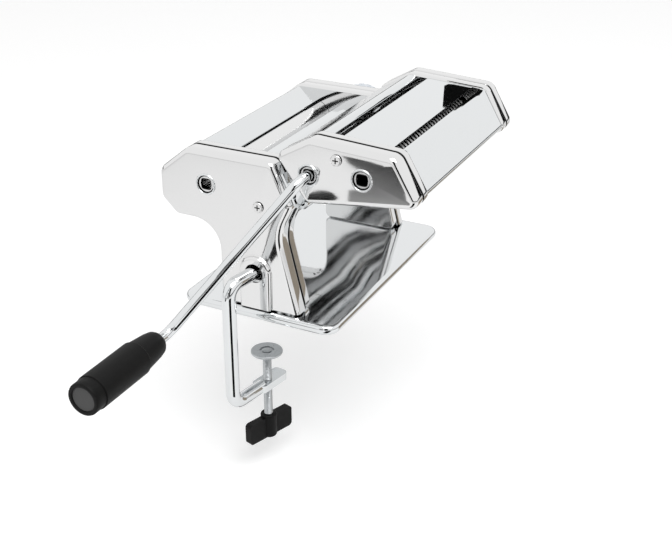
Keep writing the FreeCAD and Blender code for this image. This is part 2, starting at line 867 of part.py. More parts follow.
def dial_plate():
    """Disc on the dial-side cover that carries the setting numbers."""
    disc = rod_x(dial_radius, x_face, x_face + dial_thickness, regulator_y, roller_z)
    hole = spindle_radius + run_gap + bush_wall + fit_gap
    return disc.cut(rod_x(hole, x_face, x_face + dial_thickness, regulator_y, roller_z))


def regulator_knob():
    """Fluted knob with a rounded rim, bored for the spindle and counterbored for its screw."""
    low = knob_base
    high = low + knob_height
    knob = rod_x(knob_radius, low, high, regulator_y, roller_z)
    knob = knob.makeFillet(knob_edge, [e for e in knob.Edges if e.BoundBox.XMin > high - 1e-6])
    flutes = []
    for k in range(knob_flutes):
        angle = 2 * math.pi * k / knob_flutes
        reach = knob_radius + knob_flute_out
        flutes.append(rod_x(knob_flute_radius, low, high, regulator_y + reach * math.cos(angle),
                            roller_z + reach * math.sin(angle)))
    bore = rod_x(spindle_radius + fit_gap, low, high - knob_roof, regulator_y, roller_z)
    clear = rod_x(knob_screw_radius + fit_gap, low, high, regulator_y, roller_z)
    return knob.cut(flutes + [bore, clear])


def knob_screw():
    """Screw that holds the knob on the spindle, with a flat cheese head."""
    high = knob_base + knob_height
    head = rod_x(screw_head_radius, high, high + screw_head_height, regulator_y, roller_z)
    tip = high - knob_roof - knob_screw_depth + knob_screw_spare
    shank = rod_x(knob_screw_radius, tip, high, regulator_y, roller_z)
    top = high + screw_head_height
    wide = screw_slot_width / 2
    sides = (regulator_y - screw_head_radius, regulator_y + screw_head_radius)
    slot = box(top - screw_slot_depth, top + 1, *sides, roller_z - wide, roller_z + wide)
    return fuse([head, shank]).cut(slot)


def cutter_cover(x_sign):
    """Outer cover of the cutter unit, with socket holes on the crank side."""
    cover = pan(cutter_outline, x_sign * x_seam, x_sign * x_face, cover_sheet, rim_round)
    hole = screw_hole(*cutter_screw)
    if x_sign > 0:
        return cover.cut(hole)
    return cover.cut([mirrored(hole), bezel_hole(*wide_axis), bezel_hole(*narrow_axis)])


def partner(axis):
    """Axis of the second roller of a cutting pair, in front of the driven one."""
    return (axis[0] - cutter_spacing, axis[1])


def cutter_frame(x_sign):
    """Inner pan of the cutter unit with its bush and tie holes."""
    frame = pan(cutter_outline, x_sign * x_seam, x_sign * x_wall, frame_sheet, frame_round)
    holes = tie_holes(cutter_ties, cutter_tie_spigot)
    for axis in (wide_axis, narrow_axis):
        driven = hub_radius if x_sign < 0 else partner_journal_radius
        holes.append(bush_hole(driven, x_sign, *axis))
        holes.append(bush_hole(partner_journal_radius, x_sign, *partner(axis)))
    return frame.cut(holes)


def cutter_bushes():
    """Eight bushes of the four cutting rollers."""
    rings = []
    for axis in (wide_axis, narrow_axis):
        for x_sign in (-1, 1):
            driven = hub_radius if x_sign < 0 else partner_journal_radius
            rings.append(bush(driven, x_sign, *axis))
            rings.append(bush(partner_journal_radius, x_sign, *partner(axis)))
    return Part.makeCompound(rings)


def ring_stack(axis, ring, on_gap):
    """Core with cutting rings; the second roller's rings stand in the first one's grooves."""
    y, z = axis
    pitch = 2 * ring
    count = int(cutting_length / pitch)
    start = -count * ring + (ring if on_gap else 0.0)
    rings = []
    for k in range(count):
        left = start + k * pitch
        rings.append(rod_x(cutter_radius, left + ring_clearance, left + ring - ring_clearance, y, z))
    return fuse([shaft_body(core_radius, y, z)] + rings)


def driven_cutter(axis, ring):
    """Driven cutting roller with the hub and socket."""
    body = fuse([ring_stack(axis, ring, False), necks(partner_journal_radius, *axis)])
    return driven_shaft(axis[0], axis[1], body, partner_journal_radius)


def partner_cutter(axis, ring, gear_sign):
    """Second cutting roller, its journal longer on the side of its gear."""
    y, z = partner(axis)
    short = x_plate + bush_length
    ends = sorted((-gear_sign * short, gear_sign * (gear_x + gear_width)))
    return fuse([ring_stack((y, z), ring, True), rod_x(partner_journal_radius, ends[0], ends[1], y, z)])


def cutter_gear(axis, bore, gear_sign, on_space):
    """Gear of a cutting roller, in the side box given by the sign."""
    x0 = gear_x if gear_sign > 0 else -gear_x - gear_width
    return gear(cutter_spacing, plain_addendum, bore + fit_gap, x0, axis[0], axis[1], on_space)


def narrow_tail():
    """Longer dial-side journal of the driven narrow roller, for its gear."""
    return rod_x(partner_journal_radius, x_wall, gear_x + gear_width, *narrow_axis)


def line_y(first, second, z):
    """Place of the straight line through two outline corners at a given height."""
    return first[0] + (second[0] - first[0]) * (z - first[1]) / (second[1] - first[1])


def line_z(first, second, y):
    """Height of the straight line through two outline corners at a given y."""
    return first[1] + (second[1] - first[1]) * (y - first[0]) / (second[0] - first[0])


def cutter_top():
    """Top cover between the two feed slots, its rear edge turned down into the wide slot."""
    crest, brow = cutter_outline[1], cutter_outline[2]
    rear = wide_slot[1]
    front = narrow_slot[0]
    edge = line_z(crest, brow, rear) - panel_drop
    path = [
        (rear, edge - slot_wall, 0.0),
        (rear, edge, slot_bend),
        (front, line_z(crest, brow, front) - panel_drop, 0.0),
    ]
    return panel(path, panel_sheet)


def cutter_front():
    """Front panel from the narrow slot over the brow and down to a rolled lip."""
    crest, brow = cutter_outline[1:3]
    start = narrow_slot[1]
    path = [
        (start, line_z(crest, brow, start) - panel_drop, 0.0),
        (*inset(panel_outline, 2, panel_drop), brow_bend),
        (*inset(panel_outline, 3, panel_drop), nose_bend),
        (*inset(panel_outline, 4, panel_drop), 0.0),
    ]
    return panel(path, panel_sheet)


def cutter_rear():
    """Rear cover from the wide slot over the crest and down towards the machine."""
    crest, brow = cutter_outline[1:3]
    start = wide_slot[0]
    edge = line_z(crest, brow, start) - panel_drop
    tail = inset(panel_outline, 0, panel_drop)
    heel = inset(panel_outline, 5, panel_drop)
    path = [
        (line_y(tail, heel, rear_foot_z), rear_foot_z, 0.0),
        (*tail, tail_bend),
        (*inset(panel_outline, 1, panel_drop), crest_bend),
        (start, edge, slot_bend),
        (start, edge - slot_wall, 0.0),
    ]
    return panel(path, panel_sheet)


def comb(axis, ring, tie):
    """Strip along a tie rod whose teeth reach into the grooves of a cutting roller and free the noodles."""
    toward = Vector(0, axis[0] - tie[0], axis[1] - tie[1])
    near = cutter_tie_radius + fit_gap
    root = toward.Length - cutter_radius - comb_gap
    tip = toward.Length - core_radius - comb_gap
    half = comb_thickness / 2
    pitch = 2 * ring
    count = int(cutting_length / pitch)
    start = pitch - count * ring
    strips = [box(-x_wall + side_gap, x_wall - side_gap, near, root, -half, half)]
    for k in range(count - 1):
        left = start + k * pitch
        strips.append(box(left + comb_gap, left + ring - comb_gap, near, tip, -half, half))
    strip = fuse(strips)
    strip.rotate(Vector(0, 0, 0), Vector(1, 0, 0), math.degrees(math.atan2(toward.z, toward.y)))
    strip.translate(Vector(0, tie[0], tie[1]))
    return strip


def cover_posts():
    """Tapped posts from the cutter unit's frames to its covers."""
    y, z = cutter_screw
    post = rod_x(post_radius, x_plate, x_inner, y, z)
    post = post.cut(rod_x(cover_screw_radius + fit_gap, x_face - cover_screw_length, x_inner, y, z))
    return Part.makeCompound([post, mirrored(post)])


def bent_rod(points, radius, bend):
    """Round rod along straight runs joined by tangent arcs of one bend radius."""
    edges = []
    start = points[0]
    for i in range(1, len(points) - 1):
        back = (points[i - 1] - points[i]).normalize()
        ahead = (points[i + 1] - points[i]).normalize()
        half = back.getAngle(ahead) / 2
        reach = bend / math.tan(half)
        centre = points[i] + (back + ahead).normalize() * (bend / math.sin(half))
        middle = centre + (points[i] - centre).normalize() * bend
        enter = points[i] + back * reach
        leave = points[i] + ahead * reach
        edges.append(Part.LineSegment(start, enter).toShape())
        edges.append(Part.Arc(enter, middle, leave).toShape())
        start = leave
    edges.append(Part.LineSegment(start, points[-1]).toShape())
    section = Part.Wire(Part.makeCircle(radius, points[0], points[1] - points[0]))
    return Part.Wire(edges).makePipeShell([section], True, False)


def crank_points():
    """Corners of the crank's centre line, from the tip in the socket to the end inside the grip."""
    y, z = wide_axis
    throw = Vector(0, math.cos(crank_angle), -math.sin(crank_angle)) * crank_throw
    knee = Vector(-x_face - crank_out, y, z)
    elbow = knee + Vector(-crank_slant, 0, 0) + throw
    tip = Vector(-x_face + socket_recess + socket_depth - crank_end_gap, y, z)
    end = elbow + Vector(-grip_start - grip_length + grip_recess, 0, 0)
    return tip, knee, elbow, end


def crank_rod():
    """Bent rod with two flats milled on the end that enters a socket."""
    tip, knee, elbow, end = crank_points()
    rod = bent_rod([tip, knee, elbow, end], rod_radius, rod_bend)
    y, z = wide_axis
    flats = []
    for side in (-1, 1):
        flats.append(box(-x_face - flats_end, tip.x + 1, y - 2 * rod_radius, y + 2 * rod_radius,
                         z + side * rod_flats / 2, z + side * 2 * rod_radius))
    return rod.cut(flats)


def grip_profile():
    """Half section of the grip as (distance from its inner end, radius)."""
    return [
        (0.0, grip_nose_radius),
        (grip_nose_length, grip_nose_radius + grip_nose_step),
        (grip_taper, grip_radius - grip_taper_step),
        (grip_sleeve_start, grip_radius),
        (grip_sleeve_start, grip_sleeve_radius),
        (grip_length - grip_end_length, grip_sleeve_radius),
        (grip_length - grip_end_length, grip_radius),
        (grip_length - grip_edge, grip_radius),
        (grip_length, grip_radius - grip_edge),
    ]


def crank_grip():
    """Moulded grip, bored for the rod and open at its outer end for the washer and cap."""
    elbow = crank_points()[2]
    inner = elbow.x - grip_start
    bore = rod_radius + run_gap
    floor = grip_length - grip_recess - washer_thickness
    half = grip_profile()
    half += [(grip_length, grip_bore_end), (floor, grip_bore_end), (floor, bore), (0.0, bore)]
    ring = [Vector(inner - d, elbow.y + r, elbow.z) for d, r in half]
    face = Part.Face(Part.makePolygon(ring + ring[:1]))
    return face.revolve(Vector(inner, elbow.y, elbow.z), Vector(1, 0, 0), 360)


def grip_washer():
    """Push-on washer at the end of the rod that keeps the grip on."""
    end = crank_points()[3]
    high = end.x + washer_thickness - washer_gap
    washer = rod_x(washer_radius, end.x, high, end.y, end.z)
    return washer.cut(rod_x(rod_radius + fit_gap, end.x, high, end.y, end.z))


def grip_cap():
    """Flat cap let into the outer end of the grip."""
    tip, knee, elbow, end = crank_points()
    outer = elbow.x - grip_start - grip_length + cap_inset
    return rod_x(grip_bore_end - fit_gap, outer, outer + cap_thickness, end.y, end.z)


def clamp_place(along, z):
    """Point in the clamp's plane, a distance along its rod from the face of the cover."""
    place = clamp_origin + clamp_along * along
    return Vector(place.x, place.y, z)


def clamp_arm():
    """Bent rod from the hole in the cover down and under the table, with a flat tapped paddle."""
    length = clamp_arm_tip - clamp_screw_at + paddle_width
    rod = bent_rod([
        clamp_place(clamp_inside, clamp_hole[1]),
        clamp_place(-clamp_reach, clamp_hole[1]),
        clamp_place(-clamp_reach, clamp_arm_z),
        clamp_place(clamp_arm_tip - length + paddle_lap, clamp_arm_z),
    ], clamp_rod_radius, clamp_bend)
    paddle = Part.makeBox(length, paddle_width, paddle_thickness,
                          Vector(0, -paddle_width / 2, -paddle_thickness / 2))
    upright = [e for e in paddle.Edges if e.BoundBox.ZLength > 1]
    paddle = paddle.makeFillet(paddle_corner, upright)
    paddle.rotate(Vector(0, 0, 0), Vector(0, 0, 1), -math.degrees(clamp_swivel))
    paddle.translate(clamp_place(clamp_arm_tip - length, clamp_arm_z))
    screw = clamp_place(clamp_screw_at, 0)
    hole = rod_z(clamp_screw_radius + run_gap, clamp_arm_z - clamp_rod_radius - 1,
                 clamp_arm_z + clamp_rod_radius + 1, screw.x, screw.y)
    return fuse([rod, paddle]).cut(hole)


def clamp_pad():
    """Dished pressing plate that swivels on the neck of the screw."""
    screw = clamp_place(clamp_screw_at, 0)
    disc = rod_z(pad_radius, pad_top - pad_thickness, pad_top, screw.x, screw.y)
    disc = disc.makeFillet(pad_edge, [e for e in disc.Edges if e.BoundBox.ZLength < 1e-6])
    dish = rod_z(pad_dish_radius, pad_top - pad_thickness / 2, pad_top + 1, screw.x, screw.y)
    hole = rod_z(pad_neck_radius + run_gap, pad_top - 2 * pad_thickness, pad_top, screw.x, screw.y)
    return disc.cut([dish, hole])


def clamp_screw():
    """Screw with a thin neck through the pad, riveted over on top."""
    screw = clamp_place(clamp_screw_at, 0)
    shoulder = pad_top - pad_thickness - run_gap
    seat = pad_top - pad_thickness / 2 + run_gap
    shaft = rod_z(clamp_screw_radius, wing_hub_top - wing_hub_height / 2, shoulder, screw.x, screw.y)
    neck = rod_z(pad_neck_radius, shoulder, seat, screw.x, screw.y)
    head = rod_z(rivet_radius, seat, seat + rivet_height, screw.x, screw.y)
    return fuse([shaft, neck, head])


def clamp_wing():
    """Two-winged thumb piece moulded on the lower end of the screw."""
    screw = clamp_place(clamp_screw_at, 0)
    low = wing_hub_top - wing_hub_height
    hub = rod_z(wing_hub_radius, low, wing_hub_top, screw.x, screw.y)
    hub = hub.makeFillet(wing_hub_edge, [e for e in hub.Edges if e.BoundBox.ZLength < 1e-6])
    wing = box(-wing_span / 2, wing_span / 2, -wing_thickness / 2, wing_thickness / 2,
               low, low + wing_height)
    ends = [e for e in wing.Edges if e.BoundBox.YLength > 1]
    wing = wing.makeFillet(wing_corner, ends)
    wing.rotate(Vector(0, 0, 0), Vector(0, 0, 1), -wing_turn)
    wing.translate(Vector(screw.x, screw.y, 0))
    bore = rod_z(clamp_screw_radius + fit_gap, wing_hub_top - wing_hub_height / 2, wing_hub_top + 1,
                 screw.x, screw.y)
    return fuse([hub, wing]).cut(bore)


def pieces():
    """Every piece of the machine by name, in the order it goes together."""
    yield "base_plate", base_plate()
    yield "rubber_feet", rubber_feet()
    yield "crank_side_frame", inner_frame(-1)
    yield "dial_side_frame", inner_frame(1)
    yield "base_fasteners", Part.makeCompound(base_screws() + base_nuts())
    ties = [rear_tie, front_tie]
    yield "tie_bars", Part.makeCompound([tie_bar(t, tie_radius, tie_spigot_radius) for t in ties])
    yield "tie_nuts", tie_nuts(ties, tie_nut_radius, tie_spigot_radius)
    yield "drive_roller_bushes", Part.makeCompound([
        bush(hub_radius, -1, drive_y, roller_z),
        bush(journal_radius, 1, drive_y, roller_z),
    ])
    yield "drive_roller", drive_roller()
    yield "drive_gear", main_gear(drive_y, hub_radius, False)
    yield "idle_roller", idle_roller()
    yield "idle_gear", main_gear(idle_y, journal_radius, True)
    yield "crank_side_block", bearing_block(-1)
    yield "dial_side_block", bearing_block(1)
    yield "carriage_bar", carriage_bar()
    yield "scrapers", Part.makeCompound([
        scraper(drive_y, 1, rear_tie),
        scraper(idle_y, -1, front_tie),
    ])
    yield "rear_hood", rear_hood()
    yield "front_hood", front_hood()
    yield "cover_brackets", Part.makeCompound([
        mirrored(cover_bracket(*crank_cover_screw)),
        cover_bracket(*dial_cover_screw),
    ])
    yield "crank_side_cover", crank_side_cover()
    yield "dial_side_cover", dial_side_cover()
    yield "cover_screws", Part.makeCompound([
        mirrored(cover_screw_solid(*crank_cover_screw)),
        cover_screw_solid(*dial_cover_screw),
    ])
    yield "roller_bezel", bezel(drive_y, roller_z)
    yield "regulator_bush", regulator_bush()
    yield "regulator_spindle", regulator_spindle()
    yield "dial_plate", dial_plate()
    yield "regulator_knob", regulator_knob()
    yield "knob_screw", knob_screw()
    yield "cutter_hooks", Part.makeCompound([hook(-1), hook(1)])
    yield "cutter_crank_side_frame", cutter_frame(-1)
    yield "cutter_dial_side_frame", cutter_frame(1)
    yield "cutter_bushes", cutter_bushes()
    yield "cutter_tie_rods", Part.makeCompound([
        tie_bar(t, cutter_tie_radius, cutter_tie_spigot) for t in cutter_ties
    ])
    yield "cutter_tie_nuts", tie_nuts(cutter_ties, cutter_nut_radius, cutter_tie_spigot)
    yield "wide_drive_cutter", driven_cutter(wide_axis, wide_ring)
    yield "wide_idle_cutter", partner_cutter(wide_axis, wide_ring, -1)
    yield "wide_drive_gear", cutter_gear(wide_axis, hub_radius, -1, False)
    yield "wide_idle_gear", cutter_gear(partner(wide_axis), partner_journal_radius, -1, True)
    yield "narrow_drive_cutter", fuse([driven_cutter(narrow_axis, narrow_ring), narrow_tail()])
    yield "narrow_idle_cutter", partner_cutter(narrow_axis, narrow_ring, 1)
    yield "narrow_drive_gear", cutter_gear(narrow_axis, partner_journal_radius, 1, False)
    yield "narrow_idle_gear", cutter_gear(partner(narrow_axis), partner_journal_radius, 1, True)
    yield "cutter_top_cover", cutter_top()
    yield "cutter_front_panel", cutter_front()
    yield "cutter_rear_cover", cutter_rear()
    yield "cutter_combs", Part.makeCompound([
        comb(partner(wide_axis), wide_ring, cutter_ties[1]),
        comb(partner(narrow_axis), narrow_ring, cutter_ties[2]),
    ])
    yield "cutter_lugs", Part.makeCompound([lug(-1), lug(1)])
    yield "cutter_posts", cover_posts()
    yield "cutter_crank_side_cover", cutter_cover(-1)
    yield "cutter_dial_side_cover", cutter_cover(1)
    screw = cover_screw_solid(*cutter_screw)
    yield "cutter_screws", Part.makeCompound([screw, mirrored(screw)])
    yield "cutter_bezels", Part.makeCompound([bezel(*wide_axis), bezel(*narrow_axis)])
    yield "crank_rod", crank_rod()
    yield "crank_grip", crank_grip()
    yield "grip_washer", grip_washer()
    yield "grip_cap", grip_cap()
    yield "clamp_arm", clamp_arm()
    yield "clamp_pad", clamp_pad()
    yield "clamp_screw", clamp_screw()
    yield "clamp_wing", clamp_wing()


os.makedirs("parts", exist_ok=True)
for name, shape in pieces():
    shape.exportStep("parts/" + name + ".step")
    print(name, len(shape.Solids), shape.isValid(), round(shape.Volume, 1))
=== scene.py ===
import math
import bmesh
import bpy
import numpy as np
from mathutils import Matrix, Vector
from mathutils.geometry import delaunay_2d_cdt


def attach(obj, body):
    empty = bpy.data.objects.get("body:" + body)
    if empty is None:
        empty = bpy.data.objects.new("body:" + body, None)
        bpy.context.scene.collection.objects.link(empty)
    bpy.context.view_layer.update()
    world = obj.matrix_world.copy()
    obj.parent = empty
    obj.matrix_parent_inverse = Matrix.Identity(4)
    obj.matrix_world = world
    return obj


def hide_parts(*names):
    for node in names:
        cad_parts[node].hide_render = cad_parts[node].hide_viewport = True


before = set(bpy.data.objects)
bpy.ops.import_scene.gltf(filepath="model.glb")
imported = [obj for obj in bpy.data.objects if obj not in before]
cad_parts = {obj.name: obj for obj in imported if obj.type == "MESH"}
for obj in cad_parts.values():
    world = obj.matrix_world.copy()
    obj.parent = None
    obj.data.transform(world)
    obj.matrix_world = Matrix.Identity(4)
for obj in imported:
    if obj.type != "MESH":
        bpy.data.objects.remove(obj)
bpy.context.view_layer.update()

# Hand-cranked pasta roller machine. Sizes of its pieces are in millimetres, those of patterns, masks and
# the stage in metres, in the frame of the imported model: X runs along the rollers with the crank at -X,
# -Y is the cutter side, and Z is up from the table.

# Base plate: pressed steel with its edge rolled into a bead, chrome plated and polished.
# Four rubber feet carry it, and screws from below hold the two side boxes on top.


def linear(text):
    """Linear RGBA of an sRGB hex colour: each channel goes back through the sRGB curve."""
    srgb = np.array([int(text[i:i + 2], 16) for i in (1, 3, 5)]) / 255
    rgb = np.where(srgb <= 0.04045, srgb / 12.92, ((srgb + 0.055) / 1.055) ** 2.4)
    return (*rgb.tolist(), 1.0)


def add(tree, kind, settings, links=None):
    """Adds one node: settings go to its sockets or properties, links join outputs to its sockets."""
    made = tree.nodes.new("ShaderNode" + kind)
    for name, value in settings.items():
        if isinstance(name, int) or name in made.inputs:
            made.inputs[name].default_value = value
        else:
            setattr(made, name, value)
    for name, output in (links or {}).items():
        tree.links.new(output, made.inputs[name])
    return made


def finish(name, colour, metallic, roughness):
    """New material with plain values on its shader; gives the material, tree, shader and coordinates."""
    material = bpy.data.materials.new(name)
    material.use_nodes = True
    tree = material.node_tree
    shader = tree.nodes["Principled BSDF"]
    shader.inputs["Base Color"].default_value = linear(colour)
    shader.inputs["Metallic"].default_value = metallic
    shader.inputs["Roughness"].default_value = roughness
    return material, tree, shader, add(tree, "TexCoord", {}).outputs["Object"]


def dress(material, *names):
    """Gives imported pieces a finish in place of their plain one."""
    for name in names:
        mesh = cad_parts[name].data
        mesh.materials.clear()
        mesh.materials.append(material)


# Chrome plate on pressed sheet: a near-white mirror, a little soft where it has been handled,
# with the sheet's faint waviness, which bends reflections over some 30 mm.
chrome, tree, shader, place = finish("chrome_plated_pressed_steel", "#E3E5E6", 1.0, 0.06)
smear_size = 0.022
wave_size = 0.034
smear = add(tree, "TexNoise", {"Scale": 1 / smear_size, "Detail": 5.0}, {"Vector": place})
rough = add(tree, "MapRange", {"From Min": 0.35, "From Max": 0.75, "To Min": 0.035, "To Max": 0.10},
            {"Value": smear.outputs["Fac"]})
tree.links.new(rough.outputs["Result"], shader.inputs["Roughness"])
wave = add(tree, "TexNoise", {"Scale": 1 / wave_size, "Detail": 1.0}, {"Vector": place})
bump = add(tree, "Bump", {"Strength": 0.35, "Distance": 0.00012}, {"Height": wave.outputs["Fac"]})
tree.links.new(bump.outputs["Normal"], shader.inputs["Normal"])
dress(chrome, "base_plate", "rear_hood", "front_hood", "cutter_hooks", "cutter_top_cover",
      "cutter_front_panel", "cutter_rear_cover", "cutter_lugs", "crank_rod", "clamp_arm")

# Moulded rubber: black, matt, with a fine pebble from the mould of about 0.8 mm.
rubber, tree, shader, place = finish("moulded_rubber", "#242424", 0.0, 0.85)
pebble_size = 0.0008
pebble = add(tree, "TexNoise", {"Scale": 1 / pebble_size, "Detail": 2.0}, {"Vector": place})
bump = add(tree, "Bump", {"Strength": 0.3, "Distance": 0.0001}, {"Height": pebble.outputs["Fac"]})
tree.links.new(bump.outputs["Normal"], shader.inputs["Normal"])
dress(rubber, "rubber_feet")

# Side boxes: on each side a pressed outer cover and a pressed inner frame, two pans whose rims
# meet at a seam. Their rims are rolled in at the seam, and painted shade in the plating draws it as a fine
# dark line.


def rounded(corners, steps=10):
    """Closed outline in the YZ plane and its outward normals: a tangent arc at each (y, z, radius)."""
    data = np.array(corners, float)
    point, radius = data[:, :2], data[:, 2:]
    back = np.roll(point, 1, 0) - point
    ahead = np.roll(point, -1, 0) - point
    back /= np.linalg.norm(back, axis=1, keepdims=True)
    ahead /= np.linalg.norm(ahead, axis=1, keepdims=True)
    half = np.arccos(np.clip((back * ahead).sum(1, keepdims=True), -1, 1)) / 2
    middle = (back + ahead) / np.linalg.norm(back + ahead, axis=1, keepdims=True)
    centre = point + middle * radius / np.sin(half)
    first = point + back * radius / np.tan(half) - centre
    last = point + ahead * radius / np.tan(half) - centre
    begin = np.arctan2(first[:, 1], first[:, 0])
    turn = (np.arctan2(last[:, 1], last[:, 0]) - begin + math.pi) % (2 * math.pi) - math.pi
    angle = begin[:, None] + turn[:, None] * np.linspace(0, 1, steps + 1)
    arm = np.stack([np.cos(angle), np.sin(angle)], 2)
    loop = (centre[:, None] + arm * radius[:, None]).reshape(-1, 2)
    outward = (arm * (np.sign(turn) * np.sign(turn.sum()))[:, None, None]).reshape(-1, 2)
    return loop, outward


def band(rings):
    """Triangles between neighbouring closed rings of one point count, from shape (rows, points, 3)."""
    rows, count = rings.shape[:2]
    index = np.arange(rows * count).reshape(rows, count)
    across = np.roll(index, -1, 1)
    a, b, c, d = index[:-1], across[:-1], across[1:], index[1:]
    return np.concatenate([np.stack([a, b, c], 2).reshape(-1, 3), np.stack([a, c, d], 2).reshape(-1, 3)])


def inside(places, loop):
    """Whether each place lies in a loop: a line from it along Y crosses the loop an odd number of times."""
    y, z = places[:, :1], places[:, 1:]
    begin, end = loop, np.roll(loop, -1, 0)
    spans = (begin[:, 1] > z) != (end[:, 1] > z)
    rise = np.where(end[:, 1] == begin[:, 1], 1.0, end[:, 1] - begin[:, 1])
    cross = begin[:, 0] + (z - begin[:, 1]) * (end[:, 0] - begin[:, 0]) / rise
    return (spans & (cross > y)).sum(1) % 2 == 1


def flat_fill(loops):
    """Triangles of a flat region from its outer loop and its holes, numbered through the loops in order."""
    points = np.concatenate(loops)
    edges = []
    start = 0
    for loop in loops:
        index = np.arange(start, start + len(loop))
        edges += np.stack([index, np.roll(index, -1)], 1).tolist()
        start += len(loop)
    found = delaunay_2d_cdt(points.tolist(), edges, [], 1, 1e-6)
    source = np.array([origin[0] for origin in found[3]])
    faces = source[np.array(found[2])]
    middle = points[faces].mean(1)
    open_here = np.any([inside(middle, hole) for hole in loops[1:]] + [np.zeros(len(faces), bool)], 0)
    return faces[~open_here]


def circle(y, z, radius, count=48):
    """Loop of points round a hole in the YZ plane."""
    angle = np.linspace(0, 2 * math.pi, count, endpoint=False)
    return np.stack([y + radius * np.cos(angle), z + radius * np.sin(angle)], 1)


def outwards(points, faces):
    """Area-weighted normal of each point from the triangles round it."""
    a, b, c = (points[faces[:, i]] for i in range(3))
    cross = np.cross(b - a, c - a)
    total = np.zeros_like(points)
    for i in range(3):
        np.add.at(total, faces[:, i], cross)
    return total / np.maximum(np.linalg.norm(total, axis=1, keepdims=True), 1e-12)


def thicken(points, faces, sheet):
    """Closed shell from an open sheet: a copy a thickness behind it, and a rim along the free edges."""
    under = points - outwards(points, faces) * sheet
    edge = np.concatenate([faces[:, [0, 1]], faces[:, [1, 2]], faces[:, [2, 0]]])
    low_end, high_end = np.sort(edge, 1).T
    number, where, uses = np.unique(low_end * len(points) + high_end, return_index=True, return_counts=True)
    free = edge[where[uses == 1]]
    a, b = free[:, 0], free[:, 1]
    low = len(points)
    rim = np.concatenate([np.stack([b, a, a + low], 1), np.stack([b, a + low, b + low], 1)])
    return np.concatenate([points, under]), np.concatenate([faces, faces[:, ::-1] + low, rim])


sharp_edge = math.radians(35.0)


def piece(name, points, faces, material, body, slot, stands_for):
    """Mesh object from points in millimetres, smooth but for its sharp edges, riding on a body."""
    mesh = bpy.data.meshes.new(name)
    mesh.from_pydata((np.asarray(points) / 1000).tolist(), [], np.asarray(faces).tolist())
    mesh.validate()
    mesh.materials.append(material)
    mesh.polygons.foreach_set("use_smooth", np.ones(len(mesh.polygons), bool))
    mesh.set_sharp_from_angle(angle=sharp_edge)
    made = bpy.data.objects.new(name, mesh)
    bpy.context.scene.collection.objects.link(made)
    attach(made, body)
    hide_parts(*stands_for)
    return made


x_face, x_seam, x_wall = 98.5, 86.0, 77.0
base_top = 9.0
seam_roll, seam_gap = 1.4, 0.2
foot_gap, foot_drop, foot_radius = 1.2, 12.0, 5.5
cover_sheet, frame_sheet = 1.2, 1.5
cover_rim, frame_rim = 4.5, 2.0
leg_front, leg_rear = -34.5, 32.5
waist_y, waist_z = -18.5, 72.0
head_outline = [
    (leg_rear, 72.3, 22.0), (69.3, 72.3, 7.0), (82.0, 84.5, 8.0), (82.0, 107.4, 9.0), (57.2, 127.5, 9.0),
    (-14.3, 127.5, 7.0), (-29.5, 95.0, 6.0), (waist_y, waist_z, 34.0),
]
main_outline = [(leg_front, base_top, foot_radius), (leg_rear, base_top, foot_radius)] + head_outline

# Plating on the pans: as on the base, with painted shade in a band about 3 mm wide along the seam,
# so that the two pans part in a dark line. On the dial side the painted shade stays only where the sheet
# faces the front; along its top and back it is nearly left out.
pan_chrome_painted_seam_shade = chrome.copy()
pan_chrome_painted_seam_shade.name = "chrome_plated_pan_painted_seam_shade"
tree = pan_chrome_painted_seam_shade.node_tree
place = tree.nodes["Texture Coordinate"].outputs["Object"]
seam_shade_in, seam_shade_out = 0.0010, 0.0016
across = add(tree, "SeparateXYZ", {}, {"Vector": place})
side_on = add(tree, "Math", {"operation": "ABSOLUTE"}, {0: across.outputs["X"]})
off_seam = add(tree, "Math", {"operation": "SUBTRACT", 1: x_seam / 1000}, {0: side_on.outputs[0]})
apart = add(tree, "Math", {"operation": "ABSOLUTE"}, {0: off_seam.outputs[0]})
# The painted seam shade is kept on the dial side only where the sheet faces the front.
dial_end = add(tree, "Math", {"operation": "GREATER_THAN", 1: 0.0}, {0: across.outputs["X"]})
facing = add(tree, "SeparateXYZ", {}, {"Vector": add(tree, "NewGeometry", {}).outputs["Normal"]})
level = add(tree, "MapRange", {"From Min": -0.35, "From Max": -0.25}, {"Value": facing.outputs["Y"]})
seam_shade_left_out = add(tree, "Math", {"operation": "MULTIPLY"}, {0: dial_end.outputs[0], 1: level.outputs["Result"]})
seam_shade_darkest = add(tree, "MapRange", {"To Min": 0.008, "To Max": 0.7}, {"Value": seam_shade_left_out.outputs[0]})
# Painted shade: the base colour falls to near black within about 1 mm of the seam.
painted_seam_shade = add(tree, "MapRange", {"From Min": seam_shade_in, "From Max": seam_shade_out, "To Max": 0.78},
             {"Value": apart.outputs[0], "To Min": seam_shade_darkest.outputs["Result"]})
tree.links.new(painted_seam_shade.outputs["Result"], tree.nodes["Principled BSDF"].inputs["Base Color"])

# The covers are worked out down to below the base, along the lean of the leg, and are cut off later.
foot_low = base_top - foot_drop
foot_lean = (leg_front - waist_y) / (base_top - waist_z)
foot_front = leg_front - foot_lean * foot_drop
cover_outline = [(foot_front, foot_low, foot_radius), (leg_rear, foot_low, foot_radius)] + head_outline


def turned(points, faces, towards):
    """The triangles with their order chosen so that each faces the way given for it."""
    a, b, c = (points[faces[:, i]] for i in range(3))
    wrong = (np.cross(b - a, c - a) * towards).sum(1) < 0
    return np.where(wrong[:, None], faces[:, ::-1], faces)


